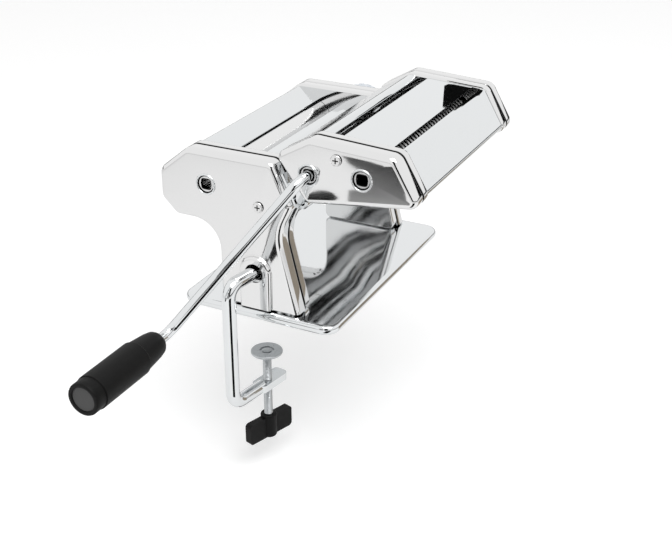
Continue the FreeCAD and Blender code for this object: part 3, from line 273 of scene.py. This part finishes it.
def pan(outline, x_open, x_closed, rim, holes):
    """Sheet of a pressed pan: a section carried round the outline, from the rolled edge at the seam along
    the wall and over the arc of the rim, and a flat floor with its holes."""
    loop, outward = rounded(outline)
    side = math.copysign(1.0, x_closed - x_open)
    edge = x_open + side * seam_gap
    roll = np.linspace(0, math.pi / 2, 5)[:, None]
    bend = np.linspace(0, math.pi / 2, 9)[:, None]
    section = np.concatenate([
        np.hstack([edge + side * seam_roll * (1 - np.cos(roll)), seam_roll * (1 - np.sin(roll))]),
        np.hstack([x_closed - side * rim * (1 - np.sin(bend)), rim * (1 - np.cos(bend))]),
    ])
    rings = np.empty((len(section), len(loop), 3))
    rings[:, :, 0] = section[:, :1]
    rings[:, :, 1:] = loop - outward * section[:, 1:, None]
    wall = band(rings)
    points = rings.reshape(-1, 3)
    away = np.tile(np.column_stack([np.zeros(len(loop)), outward]), (len(section), 1))
    away[:, 0] = np.repeat(np.linspace(-0.2, 1.0, len(section)) * side, len(loop))
    wall = turned(points, wall, away[wall[:, 0]])
    rows = [np.arange(len(points) - len(loop), len(points))]
    for hole in holes:
        rows.append(len(points) + np.arange(len(hole)))
        points = np.concatenate([points, np.column_stack([np.full(len(hole), x_closed), hole])])
    floor = np.concatenate(rows)[flat_fill([rings[-1][:, 1:]] + holes)]
    floor = turned(points, floor, np.array([side, 0, 0]))
    return points, np.concatenate([wall, floor])


def trimmed(made, z):
    """Cuts an object's mesh off flat below a height in millimetres and closes the cut."""
    work = bmesh.new()
    work.from_mesh(made.data)
    cut = bmesh.ops.bisect_plane(work, geom=work.verts[:] + work.edges[:] + work.faces[:], dist=1e-7,
                                 plane_co=(0, 0, z / 1000), plane_no=(0, 0, 1), clear_inner=True)
    edges = [e for e in cut["geom_cut"] if isinstance(e, bmesh.types.BMEdge)]
    bmesh.ops.triangle_fill(work, use_beauty=True, edges=edges)
    work.to_mesh(made.data)
    work.free()


# The crank-side cover has an arch pressed outwards round the hole for the table clamp, so that
# the clamp's rod can pass; the sheet bends out of the face and over to a flat top.
clamp_y, clamp_z = 0.8, 39.3
clamp_entry = 7.5
arch_half, arch_rise = 13.0, 3.5
arch_low, arch_corner = 4.0, 3.0
arch_outline = [(clamp_y - arch_half, arch_low, arch_corner), (clamp_y + arch_half, arch_low, arch_corner),
                (clamp_y + arch_half, clamp_z + arch_half, arch_half),
                (clamp_y - arch_half, clamp_z + arch_half, arch_half)]
arch_foot, arch_brow = 1.0, 2.4


def arch(entry):
    """Sheet of the arch: from a hollow bend at its foot, up a short wall and over its brow to the flat top
    with the entry hole; gives the foot's loop too, which is cut out of the cover."""
    loop, outward = rounded(arch_outline, 16)
    foot = np.linspace(0, math.pi / 2, 6)[:, None]
    brow = np.linspace(0, math.pi / 2, 8)[:, None]
    section = np.concatenate([
        np.hstack([arch_foot * (1 - np.cos(foot)), arch_foot * (np.sin(foot) - 1)]),
        np.hstack([arch_rise - arch_brow * (1 - np.sin(brow)), arch_brow * (1 - np.cos(brow))]),
    ])
    rings = np.empty((len(section), len(loop), 3))
    rings[:, :, 0] = -x_face - section[:, :1]
    rings[:, :, 1:] = loop - outward * section[:, 1:, None]
    points = rings.reshape(-1, 3)
    away = np.tile(np.column_stack([np.full(len(loop), -1.0), outward]), (len(section), 1))
    wall = band(rings)
    wall = turned(points, wall, away[wall[:, 0]])
    rows = np.arange(len(points) - len(loop), len(points) + len(entry))
    points = np.concatenate([points, np.column_stack([np.full(len(entry), -x_face - arch_rise), entry])])
    top = rows[flat_fill([rings[-1][:, 1:], entry])]
    return points, np.concatenate([wall, turned(points, top, np.array([-1.0, 0, 0]))]), rings[0][:, 1:]


def welded(points, faces):
    """Joins points that lie within a hundredth of a millimetre of each other."""
    key = np.round(points * 100).astype(np.int64)
    values, first, group = np.unique(key, axis=0, return_index=True, return_inverse=True)
    faces = group.reshape(-1)[faces]
    keep = (faces[:, 0] != faces[:, 1]) & (faces[:, 1] != faces[:, 2]) & (faces[:, 2] != faces[:, 0])
    return points[first], faces[keep]


drive_y, roller_z = 41.3, 101.7
spindle_y = 12.15
crank_screw, dial_screw = (-2.7, 91.8), (2.0, 66.0)
bezel_seat, screw_seat = 7.85, 1.75
hub_seat, bush_seat = 8.41, 7.11
arch_points, arch_faces, arch_loop = arch(circle(clamp_y, clamp_z, clamp_entry))
holes = [circle(drive_y, roller_z, bezel_seat), circle(*crank_screw, screw_seat), arch_loop]
points, faces = pan(cover_outline, -x_seam, -x_face, cover_rim, holes)
faces = np.concatenate([faces, arch_faces + len(points)])
points, faces = welded(np.concatenate([points, arch_points]), faces)
points, faces = thicken(points, faces, cover_sheet)
made = piece("crank_cover", points, faces, pan_chrome_painted_seam_shade, "frame", "chrome_steel", ["crank_side_cover"])
trimmed(made, base_top + foot_gap)

holes = [circle(spindle_y, roller_z, bush_seat), circle(*dial_screw, screw_seat)]
points, faces = thicken(*pan(cover_outline, x_seam, x_face, cover_rim, holes), cover_sheet)
made = piece("dial_cover", points, faces, pan_chrome_painted_seam_shade, "frame", "chrome_steel", ["dial_side_cover"])
trimmed(made, base_top + foot_gap)


def window(y0, y1, half):
    """Loop of a square-cornered hole from y0 to y1, as high above the rollers' axes as below."""
    low, high = roller_z - half, roller_z + half
    return np.array([(y0, low), (y1, low), (y1, high), (y0, high)])


# The frames have windows for the sliding blocks and for the carriage's cross bar.
tie_places = [(64.0, 81.6), (-13.5, 80.4)]
tie_seat = 2.55
block_window, bar_window = window(3.9, 20.4, 7.0), window(-12.0, -3.3, 3.1)
rod_y, rod_seat = -2.78, 6.14
for side, name, seat in ((-1, "crank_frame", hub_seat), (1, "dial_frame", bush_seat)):
    holes = [circle(y, z, tie_seat) for y, z in tie_places] + [circle(drive_y, roller_z, seat)]
    holes += [block_window, bar_window]
    if side < 0:
        holes.append(circle(rod_y, clamp_z, rod_seat))
    points, faces = thicken(*pan(main_outline, side * x_seam, side * x_wall, frame_rim, holes), frame_sheet)
    piece(name, points, faces, pan_chrome_painted_seam_shade, "frame", "chrome_steel", [name.replace("frame", "side_frame")])

# Bezel: a turned bright ring pressed into the cover round a drive socket, with a rounded front edge
# that gathers the whole room in a bright line and parts the socket from the cover.


def hoop(section, y, z, count=72):
    """Ring round a line along X: a closed section of (x, radius) points carried round (y, z)."""
    angle = np.linspace(0, 2 * math.pi, count, endpoint=False)
    section = np.asarray(section, float)
    section = np.concatenate([section, section[:1]])
    rings = np.empty((len(section), count, 3))
    rings[:, :, 0] = section[:, :1]
    rings[:, :, 1] = y + section[:, 1:] * np.cos(angle)
    rings[:, :, 2] = z + section[:, 1:] * np.sin(angle)
    return welded(rings.reshape(-1, 3), band(rings)[:, ::-1])


bezel_in, bezel_out, bezel_proud, bezel_lip = 6.8, 8.4, 0.8, 1.0
bezel_back = -x_face + cover_sheet
round_edge = np.linspace(0, math.pi, 13)[:, None]
bezel_section = np.concatenate([
    np.hstack([-x_face - bezel_proud * np.sin(round_edge),
               (bezel_in + bezel_out) / 2 + (bezel_out - bezel_in) / 2 * np.cos(round_edge)]),
    [(bezel_back, bezel_in), (bezel_back, bezel_in + bezel_lip), (-x_face, bezel_in + bezel_lip)],
])
points, faces = hoop(bezel_section, drive_y, roller_z)
piece("roller_bezel_ring", points, faces, chrome, "frame", "chrome_steel", ["roller_bezel"])

# Cover screws: plated steel with a cross recess. Painted shade darkens the recess and all below the
# face of the head, under its rim: the base colour falls to near black there.
recess_floor, head_face = 0.0993, 0.0995
screw_plate_painted_recess_shade = chrome.copy()
screw_plate_painted_recess_shade.name = "plated_screw_steel_painted_recess_shade"
tree = screw_plate_painted_recess_shade.node_tree
across = add(tree, "SeparateXYZ", {}, {"Vector": tree.nodes["Texture Coordinate"].outputs["Object"]})
side_on = add(tree, "Math", {"operation": "ABSOLUTE"}, {0: across.outputs["X"]})
# Painted shade: near black below the face of the head, the plate's grey on it.
painted_recess_shade = add(tree, "MapRange",
           {"From Min": recess_floor, "From Max": head_face, "To Min": 0.02, "To Max": 0.74},
           {"Value": side_on.outputs[0]})
tree.links.new(painted_recess_shade.outputs["Result"], tree.nodes["Principled BSDF"].inputs["Base Color"])
dress(screw_plate_painted_recess_shade, "cover_screws", "cutter_screws")

# Tie bars, scrapers, brackets, gears, nuts and screws: bright steel, turned, cut or stamped.
# The mill's and the lathe's marks run as fine lines, drawn here about 0.5 mm apart so that they show.
steel, tree, shader, place = finish("bright_turned_and_cut_steel", "#B4B5B6", 1.0, 0.3)
mark_size = 0.0005
marks = add(tree, "Mapping", {"Scale": (1 / mark_size, 40.0, 40.0)}, {"Vector": place})
lines = add(tree, "TexNoise", {"Scale": 1.0, "Detail": 2.0}, {"Vector": marks.outputs["Vector"]})
rough = add(tree, "MapRange", {"To Min": 0.2, "To Max": 0.42}, {"Value": lines.outputs["Fac"]})
tree.links.new(rough.outputs["Result"], shader.inputs["Roughness"])
bump = add(tree, "Bump", {"Strength": 0.25, "Distance": 0.00003}, {"Height": lines.outputs["Fac"]})
tree.links.new(bump.outputs["Normal"], shader.inputs["Normal"])
dress(steel, "base_fasteners", "tie_bars", "tie_nuts", "drive_gear", "idle_gear", "carriage_bar",
      "cover_brackets", "regulator_spindle", "knob_screw", "cutter_tie_rods", "cutter_tie_nuts",
      "wide_drive_gear", "wide_idle_gear", "narrow_drive_gear", "narrow_idle_gear", "cutter_posts",
      "grip_washer", "scrapers", "cutter_combs")

# Bushes and sliding blocks: moulded white nylon. The bushes are pressed into the frames, and the blocks
# slide in their windows. Nylon looks a little translucent and waxy, with a fine skin of about 1.2 mm.
nylon, tree, shader, place = finish("moulded_nylon", "#E6E3DA", 0.0, 0.42)
shader.inputs["Subsurface Weight"].default_value = 0.1
shader.inputs["Subsurface Scale"].default_value = 0.002
skin_size = 0.0012
skin = add(tree, "TexNoise", {"Scale": 1 / skin_size, "Detail": 2.0}, {"Vector": place})
bump = add(tree, "Bump", {"Strength": 0.15, "Distance": 0.00005}, {"Height": skin.outputs["Fac"]})
tree.links.new(bump.outputs["Normal"], shader.inputs["Normal"])
dress(nylon, "drive_roller_bushes", "regulator_bush", "cutter_bushes", "crank_side_block", "dial_side_block")

# Rollers: turned and ground steel, nickel plated. Grinding leaves fine rings round each roller,
# drawn about 0.4 mm apart, that stretch reflections along it.
nickel, tree, shader, place = finish("nickel_plated_ground_steel", "#DCDDDE", 1.0, 0.12)
ring_size = 0.0004
stretch = add(tree, "Mapping", {"Scale": (1 / ring_size, 12.0, 12.0)}, {"Vector": place})
rings = add(tree, "TexNoise", {"Scale": 1.0, "Detail": 2.0}, {"Vector": stretch.outputs["Vector"]})
rough = add(tree, "MapRange", {"To Min": 0.07, "To Max": 0.2}, {"Value": rings.outputs["Fac"]})
tree.links.new(rough.outputs["Result"], shader.inputs["Roughness"])
bump = add(tree, "Bump", {"Strength": 0.1, "Distance": 0.00002}, {"Height": rings.outputs["Fac"]})
tree.links.new(bump.outputs["Normal"], shader.inputs["Normal"])

hub_from = -0.095
socket_in, socket_out = 0.0043, 0.0046
hub_in, hub_out = 0.0058, 0.0060


def roller_finish_painted_shade(name, y, z, root, tip, rough_low, rough_high):
    """The nickel plate with two painted marks by distance from the roller's axis: painted shade in the
    grooves from the root to the tip of the cutting rings, and on the hub's end painted shade in a square
    socket and round the hub, leaving a ring of the plate's grey; the socket's rounded square is the fourth
    root of the sum of fourth powers."""
    made = nickel.copy()
    made.name = name
    tree = made.node_tree
    away = add(tree, "SeparateXYZ", {}, {"Vector": tree.nodes["Texture Coordinate"].outputs["Object"]})
    squares = []
    for axis, middle in (("Y", y), ("Z", z)):
        off = add(tree, "Math", {"operation": "SUBTRACT", 1: middle / 1000}, {0: away.outputs[axis]})
        squares.append(add(tree, "Math", {"operation": "MULTIPLY"}, {0: off.outputs[0], 1: off.outputs[0]}))
    far = add(tree, "Math", {"operation": "ADD"}, {0: squares[0].outputs[0], 1: squares[1].outputs[0]})
    reach = add(tree, "Math", {"operation": "SQRT"}, {0: far.outputs[0]})
    fourth = [add(tree, "Math", {"operation": "MULTIPLY"}, {0: square.outputs[0], 1: square.outputs[0]})
              for square in squares]
    total = add(tree, "Math", {"operation": "ADD"}, {0: fourth[0].outputs[0], 1: fourth[1].outputs[0]})
    boxy = add(tree, "Math", {"operation": "POWER", 1: 0.25}, {0: total.outputs[0]})
    # Painted shade: near black at the root of the cutting rings, the plate's grey at their tips.
    painted_groove_shade = add(tree, "MapRange",
               {"From Min": root / 1000, "From Max": tip / 1000, "To Min": 0.01, "To Max": 0.8},
               {"Value": reach.outputs[0]})
    # Painted shade on the hub's end: near black in the square socket and beyond the hub's rim.
    hole = add(tree, "MapRange", {"From Min": socket_in, "From Max": socket_out}, {"Value": boxy.outputs[0]})
    rim = add(tree, "MapRange", {"From Min": hub_in, "From Max": hub_out, "To Min": 1.0, "To Max": 0.0},
              {"Value": reach.outputs[0]})
    face = add(tree, "Math", {"operation": "MULTIPLY"}, {0: hole.outputs[0], 1: rim.outputs[0]})
    end = add(tree, "MapRange", {"To Min": 0.012, "To Max": 0.72}, {"Value": face.outputs[0]})
    outer = add(tree, "Math", {"operation": "LESS_THAN", 1: hub_from}, {0: away.outputs["X"]})
    inner = add(tree, "Math", {"operation": "SUBTRACT", 0: 1.0}, {1: outer.outputs[0]})
    painted_end_shade = add(tree, "Math", {"operation": "MULTIPLY"}, {0: outer.outputs[0], 1: end.outputs["Result"]})
    grey = add(tree, "Math", {"operation": "MULTIPLY_ADD"},
               {0: inner.outputs[0], 1: painted_groove_shade.outputs["Result"], 2: painted_end_shade.outputs[0]})
    shader = tree.nodes["Principled BSDF"]
    tree.links.new(grey.outputs[0], shader.inputs["Base Color"])
    spread = shader.inputs["Roughness"].links[0].from_node
    spread.inputs["To Min"].default_value, spread.inputs["To Max"].default_value = rough_low, rough_high
    return made


# The cutting rollers stay satin from the tool, so that light from the slots spreads over their rings.
cutter_spacing = 19.8
wide_axis, narrow_axis = (-43.6, 123.6), (-84.6, 126.9)
wide_partner = (wide_axis[0] - cutter_spacing, wide_axis[1])
narrow_partner = (narrow_axis[0] - cutter_spacing, narrow_axis[1])
ring_root, ring_tip = 9.4, 10.1
dress(nickel, "idle_roller")
dress(roller_finish_painted_shade("nickel_plated_drive_roller_painted_shade", drive_y, roller_z, 0.5, 1.0, 0.07, 0.2), "drive_roller")
for name, axis in (("wide_drive_cutter", wide_axis), ("wide_idle_cutter", wide_partner),
                   ("narrow_drive_cutter", narrow_axis), ("narrow_idle_cutter", narrow_partner)):
    dress(roller_finish_painted_shade("nickel_plated_" + name, *axis, ring_root, ring_tip, 0.35, 0.5), name)

# Cutter unit: two more pressed covers on two pressed frames, with the panels between them.
# It hangs on hooks in front of the machine by two pegs.
cutter_outline = [(-16.0, 134.4, 6.0), (-44.0, 150.5, 10.0), (-108.7375, 146.8, 9.0),
                  (-129.2375, 112.1, 6.0), (-40.8, 101.1, 7.0)]
cutter_ties = [(-30.0, 131.5), (-73.85, 112.15), (-116.65, 117.4)]
cutter_tie_seat, journal_seat = 2.05, 6.11
cutter_screw = (-65.4, 138.4375)
for side, name in ((-1, "cutter_crank_cover"), (1, "cutter_dial_cover")):
    holes = [circle(*cutter_screw, screw_seat)]
    if side < 0:
        holes += [circle(*wide_axis, bezel_seat), circle(*narrow_axis, bezel_seat)]
    points, faces = thicken(*pan(cutter_outline, side * x_seam, side * x_face, cover_rim, holes), cover_sheet)
    piece(name, points, faces, pan_chrome_painted_seam_shade, "cutter", "chrome_steel", [name.replace("cover", "side_cover")])
for side, name in ((-1, "cutter_crank_frame"), (1, "cutter_dial_frame")):
    drive_seat = hub_seat if side < 0 else journal_seat
    holes = [circle(*place, cutter_tie_seat) for place in cutter_ties]
    for driven, partner in ((wide_axis, wide_partner), (narrow_axis, narrow_partner)):
        holes += [circle(*driven, drive_seat), circle(*partner, journal_seat)]
    points, faces = thicken(*pan(cutter_outline, side * x_seam, side * x_wall, frame_rim, holes), frame_sheet)
    piece(name, points, faces, pan_chrome_painted_seam_shade, "cutter", "chrome_steel", [name.replace("frame", "side_frame")])

wide_ring, wide_rows = hoop(bezel_section, *wide_axis)
narrow_ring, narrow_rows = hoop(bezel_section, *narrow_axis)
points = np.concatenate([wide_ring, narrow_ring])
faces = np.concatenate([wide_rows, narrow_rows + len(wide_ring)])
piece("cutter_bezel_rings", points, faces, chrome, "cutter", "chrome_steel", ["cutter_bezels"])

# Thickness regulator: a plain dial plate of brushed aluminium on the dial-side cover, and a moulded knob
# that a screw holds on the end of the regulator's spindle.

# Satin aluminium: fine scratches of about 0.3 mm from brushing spread the light up and down.
satin, tree, shader, place = finish("satin_aluminium", "#CFD1D3", 1.0, 0.35)
scratch_size = 0.0003
drawn = add(tree, "Mapping", {"Scale": (60.0, 60.0, 1 / scratch_size)}, {"Vector": place})
scratch = add(tree, "TexNoise", {"Scale": 1.0, "Detail": 3.0}, {"Vector": drawn.outputs["Vector"]})
rough = add(tree, "MapRange", {"To Min": 0.25, "To Max": 0.5}, {"Value": scratch.outputs["Fac"]})
tree.links.new(rough.outputs["Result"], shader.inputs["Roughness"])
dress(satin, "dial_plate")

# Moulded grey plastic: pale and glossy, with a faint flow of about 6 mm in its shine.
shell, tree, shader, place = finish("moulded_grey_plastic", "#C9CED4", 0.0, 0.25)
flow_size = 0.006
flow = add(tree, "TexNoise", {"Scale": 1 / flow_size, "Detail": 2.0}, {"Vector": place})
rough = add(tree, "MapRange", {"To Min": 0.18, "To Max": 0.36}, {"Value": flow.outputs["Fac"]})
tree.links.new(rough.outputs["Result"], shader.inputs["Roughness"])
dress(shell, "regulator_knob")

# Crank grip: black plastic, moulded hollow, turning freely on the crank's rod and held by a washer.
# It has a slightly larger sleeve in the middle and a dark grey cap pressed into its end.

# Moulded black plastic: a deep black with a soft sheen, broken by a spark-eroded grain of about 0.5 mm.
black, tree, shader, place = finish("moulded_black_plastic", "#0A0A0A", 0.0, 0.5)
shader.inputs["Specular IOR Level"].default_value = 0.16
grain_size = 0.0005
grain = add(tree, "TexNoise", {"Scale": 1 / grain_size, "Detail": 2.0}, {"Vector": place})
bump = add(tree, "Bump", {"Strength": 0.3, "Distance": 0.00006}, {"Height": grain.outputs["Fac"]})
tree.links.new(bump.outputs["Normal"], shader.inputs["Normal"])
rough = add(tree, "MapRange", {"To Min": 0.4, "To Max": 0.62}, {"Value": grain.outputs["Fac"]})
tree.links.new(rough.outputs["Result"], shader.inputs["Roughness"])
dress(black, "clamp_wing")

crank_reach, crank_turn = 130.7, math.radians(55.1)
grip_x, grip_long = -185.5, 84.8
grip_y = wide_axis[0] + crank_reach * math.cos(crank_turn)
grip_z = wide_axis[1] - crank_reach * math.sin(crank_turn)
grip_bore, grip_radius, sleeve_radius = 4.06, 12.0, 12.75
sleeve_from, sleeve_to = 26.0, 75.3
cap_floor, cap_radius = 77.3, 8.7
grip_half = [
    (0.0, grip_bore), (0.0, 6.6), (0.25, 7.3), (0.9, 7.9), (3.0, 9.2), (8.0, 10.2), (16.0, 11.0),
    (sleeve_from, grip_radius), (sleeve_from + 0.1, 12.4), (sleeve_from + 0.5, 12.72),
    (sleeve_from + 1.2, sleeve_radius), (50.0, sleeve_radius), (sleeve_to - 1.2, sleeve_radius),
    (sleeve_to - 0.5, 12.72), (sleeve_to - 0.1, 12.4), (sleeve_to, grip_radius), (80.0, grip_radius),
    (grip_long - 1.2, grip_radius), (grip_long - 0.35, 11.65), (grip_long, 10.8), (grip_long, 9.5),
    (grip_long - 0.25, 8.95), (grip_long - 0.8, cap_radius), (cap_floor, cap_radius), (cap_floor, grip_bore),
]
ridge_at, ridge_wide, ridge_high = math.radians(-52.0), math.radians(5.0), 0.5


def grip_surface():
    """Half section carried round the rod's axis, with a low ridge along the sleeve where the mould parts:
    two bell-shaped dips of the radius beside one angle leave the ridge at the sleeve's full radius."""
    angle = np.linspace(0, 2 * math.pi, 144, endpoint=False)
    half = np.array(grip_half + grip_half[:1])
    off = (angle - ridge_at + math.pi) % (2 * math.pi) - math.pi
    before = np.exp(-((off - 2 * ridge_wide) / ridge_wide) ** 2)
    behind = np.exp(-((off + 2 * ridge_wide) / ridge_wide) ** 2)
    on_sleeve = (half[:, 1] > grip_radius + 0.2)[:, None]
    radius = half[:, 1:] - on_sleeve * ridge_high * (before + behind)
    rings = np.stack([np.broadcast_to(grip_x - half[:, :1], radius.shape), grip_y + radius * np.cos(angle),
                      grip_z + radius * np.sin(angle)], 2)
    return welded(rings.reshape(-1, 3), band(rings)[:, ::-1])


piece("grip_body", *grip_surface(), black, "grip", "black_plastic", ["crank_grip"])

# Moulded dark grey plastic: the same grain on a lighter stock, matt.
grey = black.copy()
grey.name = "moulded_dark_grey_plastic"
grey.node_tree.nodes["Principled BSDF"].inputs["Base Color"].default_value = linear("#505050")
dress(grey, "grip_cap")

# Table clamp's pad and screw: a dished plate that swivels on the neck of a screw, riveted over on top,
# both of zinc-plated steel. The screw turns in the flat end of the clamp's rod.

# Zinc plate: grey and satin, with cloudy spangles of about 2 mm.
zinc, tree, shader, place = finish("zinc_plated_steel", "#BFC2C4", 1.0, 0.35)
cloud_size = 0.002
cloud = add(tree, "TexNoise", {"Scale": 1 / cloud_size, "Detail": 3.0}, {"Vector": place})
rough = add(tree, "MapRange", {"From Min": 0.3, "From Max": 0.7, "To Min": 0.25, "To Max": 0.45},
            {"Value": cloud.outputs["Fac"]})
tree.links.new(rough.outputs["Result"], shader.inputs["Roughness"])
dress(zinc, "clamp_pad")

# The screw has a rolled thread, shown as a groove that winds round the shaft once in each pitch.
screw_x, screw_y = -89.0401, -0.834
thread_radius, thread_depth, thread_pitch = 3.5, 0.55, 1.25
thread_low, thread_high, thread_fade = -99.0, -34.2, 1.5
neck_radius, rivet_radius = 2.0, 3.6
rivet_low, rivet_brow, rivet_top = -32.94, -31.9, -31.54


def threaded():
    """Shaft whose radius falls and rises once per pitch, the wave shifted by one pitch per turn round it;
    both ends close to the axis."""
    angle = np.linspace(0, 2 * math.pi, 36, endpoint=False)
    height = np.linspace(thread_low, thread_high, 520)[:, None]
    wave = np.abs((height / thread_pitch - angle / (2 * math.pi)) % 1.0 * 2 - 1)
    fade = np.clip((thread_high - height) / thread_fade, 0, 1)
    radius = thread_radius - thread_depth * wave * fade
    rings = np.stack([screw_x + radius * np.cos(angle), screw_y + radius * np.sin(angle),
                      np.broadcast_to(height, radius.shape)], 2)
    ends = [(0.0, thread_low), (neck_radius, thread_high), (neck_radius, rivet_low),
            (rivet_radius, rivet_low), (rivet_radius, rivet_brow), (2.8, rivet_top), (0.0, rivet_top)]
    plain = [np.stack([screw_x + r * np.cos(angle), screw_y + r * np.sin(angle), np.full(len(angle), z)], 1)
             for r, z in ends]
    rings = np.concatenate([plain[:1], rings, plain[1:]])
    return welded(rings.reshape(-1, 3), band(rings))


piece("threaded_screw", *threaded(), zinc, "clamp_screw", "zinc_steel", ["clamp_screw"])

# Studio: a plain pale floor below the clamp, white all round and soft even light. Dark cards stand
# out of the picture, as round any bright metal, and draw the dark lines of its reflections.


def card(name, corners, faces, material):
    """Flat stage piece from corners in metres."""
    mesh = bpy.data.meshes.new(name)
    mesh.from_pydata(np.asarray(corners, float).tolist(), [], np.asarray(faces).tolist())
    mesh.materials.append(material)
    made = bpy.data.objects.new(name, mesh)
    bpy.context.scene.collection.objects.link(made)
    return made


floor_z, floor_half = -0.135, 30.0
paper, tree, shader, place = finish("white_paper", "#E8E8E8", 0.0, 0.9)
shader.inputs["Emission Color"].default_value = (1, 1, 1, 1)
path = add(tree, "LightPath", {})
mirrored = add(tree, "Math", {"operation": "MULTIPLY", 1: 0.12}, {0: path.outputs["Is Glossy Ray"]})
glow = add(tree, "Math", {"operation": "MULTIPLY_ADD", 1: 0.30},
           {0: path.outputs["Is Camera Ray"], 2: mirrored.outputs[0]})
tree.links.new(glow.outputs[0], shader.inputs["Emission Strength"])
card("floor", [(-floor_half, -floor_half, floor_z), (floor_half, -floor_half, floor_z),
               (floor_half, floor_half, floor_z), (-floor_half, floor_half, floor_z)], [(0, 1, 2, 3)], paper)


def felt(name, colour):
    """Felt of a card, with no shine at all; gives the material, its tree, shader and coordinates."""
    found = finish(name, colour, 0.0, 1.0)
    found[2].inputs["Specular IOR Level"].default_value = 0.0
    return found


black_felt = felt("black_felt", "#101010")[0]
brown_felt = felt("brown_felt", "#B0A698")[0]
# The grey felt darkens from its lower to its upper edge.
grey_felt, tree, shader, place = felt("grey_felt", "#6E6E6E")
height = add(tree, "SeparateXYZ", {}, {"Vector": place})
fade = add(tree, "MapRange", {"From Min": 0.03, "From Max": 0.085, "To Min": 0.46, "To Max": 0.12},
           {"Value": height.outputs["Z"]})
tree.links.new(fade.outputs["Result"], shader.inputs["Base Color"])


def strip(name, degrees, count, middle, rims):
    """Black card along an arc round a middle, between two rims of (radius, height)."""
    turn = np.radians(np.linspace(*degrees, count))
    arm = np.stack([np.cos(turn), np.sin(turn)], 1)
    rows = [np.column_stack([arm * radius + middle, np.full(count, z)]) for radius, z in rims]
    index = np.arange(count - 1)
    over = index + count
    return card(name, np.concatenate(rows), np.stack([index, index + 1, over + 1, over], 1), black_felt)


def upright(name, x, edge, material):
    """Card that stands across X, from its (y, z) corners."""
    return card(name, [(x, y, z) for y, z in edge], [range(len(edge))], material)


eye = np.array([-0.7662, -0.3965, 0.4215])
ahead = np.array([0.803, 0.400, -0.442])
right = np.array([0.446, -0.895, 0.0])
above = np.array([0.395, 0.197, 0.897])
card_back, half_wide, half_high = 0.2, 0.22, 0.4
behind = eye - ahead * card_back
side_edge = [(-0.07, 0.02), (0.0, 0.02), (-0.002, 0.047), (-0.018, 0.058), (-0.016, 0.066), (-0.002, 0.074),
             (0.002, 0.09), (-0.07, 0.09)]
far_edge = [(-0.115, 0.146), (-0.083, 0.148), (-0.0785, 0.1487), (-0.0751, 0.151), (-0.0765, 0.169),
            (-0.115, 0.169)]
cards = [
    strip("low_band", (-165, 105), 61, (0.0, 0.0), ((2.6, 0.0), (2.6, 0.3))),
    card("camera_card", [behind + right * half_wide * i + above * half_high * j
                         for i, j in ((-1, -1), (1, -1), (1, 1), (-1, 1))], [(0, 1, 2, 3)], black_felt),
    upright("side_card", -0.25, side_edge, grey_felt),
    upright("far_card", 0.0765, far_edge, black_felt),
    strip("low_wedge", (211, 246), 8, (-0.127, 0.006), ((0.12, floor_z + 0.001), (0.9, floor_z + 0.001))),
    card("front_card", [(0.04, -0.26, -0.13), (0.30, -0.20, -0.13), (0.30, -0.20, 0.06), (0.04, -0.26, 0.06)],
         [(0, 1, 2, 3)], brown_felt),
]
for made in cards:
    made.visible_camera = False
    made.visible_diffuse = False
    made.visible_shadow = False
    made.visible_transmission = False

world = bpy.data.worlds.new("white_room")
bpy.context.scene.world = world
world.use_nodes = True
tree = world.node_tree
path = add(tree, "LightPath", {})
seen = add(tree, "Math", {"operation": "ADD", "use_clamp": True},
           {0: path.outputs["Is Camera Ray"], 1: path.outputs["Is Glossy Ray"]})
clear = add(tree, "Math", {"operation": "ADD", "use_clamp": True},
            {0: seen.outputs[0], 1: path.outputs["Is Transmission Ray"]})
level = add(tree, "MapRange", {"To Min": 0.72, "To Max": 1.0}, {"Value": clear.outputs[0]})
tree.links.new(level.outputs["Result"], tree.nodes["Background"].inputs["Strength"])
tree.nodes["Background"].inputs["Color"].default_value = (1, 1, 1, 1)

lamp = bpy.data.lights.new("softbox", "AREA")
lamp.shape = "RECTANGLE"
lamp.size, lamp.size_y = 1.2, 0.9
lamp.energy = 14.0
softbox = bpy.data.objects.new("softbox", lamp)
softbox.location = (-0.5, -0.5, 1.4)
softbox.rotation_euler = Vector((0.5, 0.5, -1.3)).to_track_quat("-Z", "Y").to_euler()
bpy.context.scene.collection.objects.link(softbox)

# Camera: looks down on the crank side from the front, as a 62 mm lens would from under a metre away.
# Its small shift only sets the framing.
lens = bpy.data.cameras.new("camera")
lens.sensor_width = 36.0
lens.lens = 62.39
lens.shift_x, lens.shift_y = 0.0027, 0.0055
camera = bpy.data.objects.new("camera", lens)
camera.location = eye.tolist()
camera.rotation_euler = Vector(ahead.tolist()).to_track_quat("-Z", "Y").to_euler()
bpy.context.scene.collection.objects.link(camera)
bpy.context.scene.camera = camera
bpy.context.scene.view_settings.view_transform = "Standard"
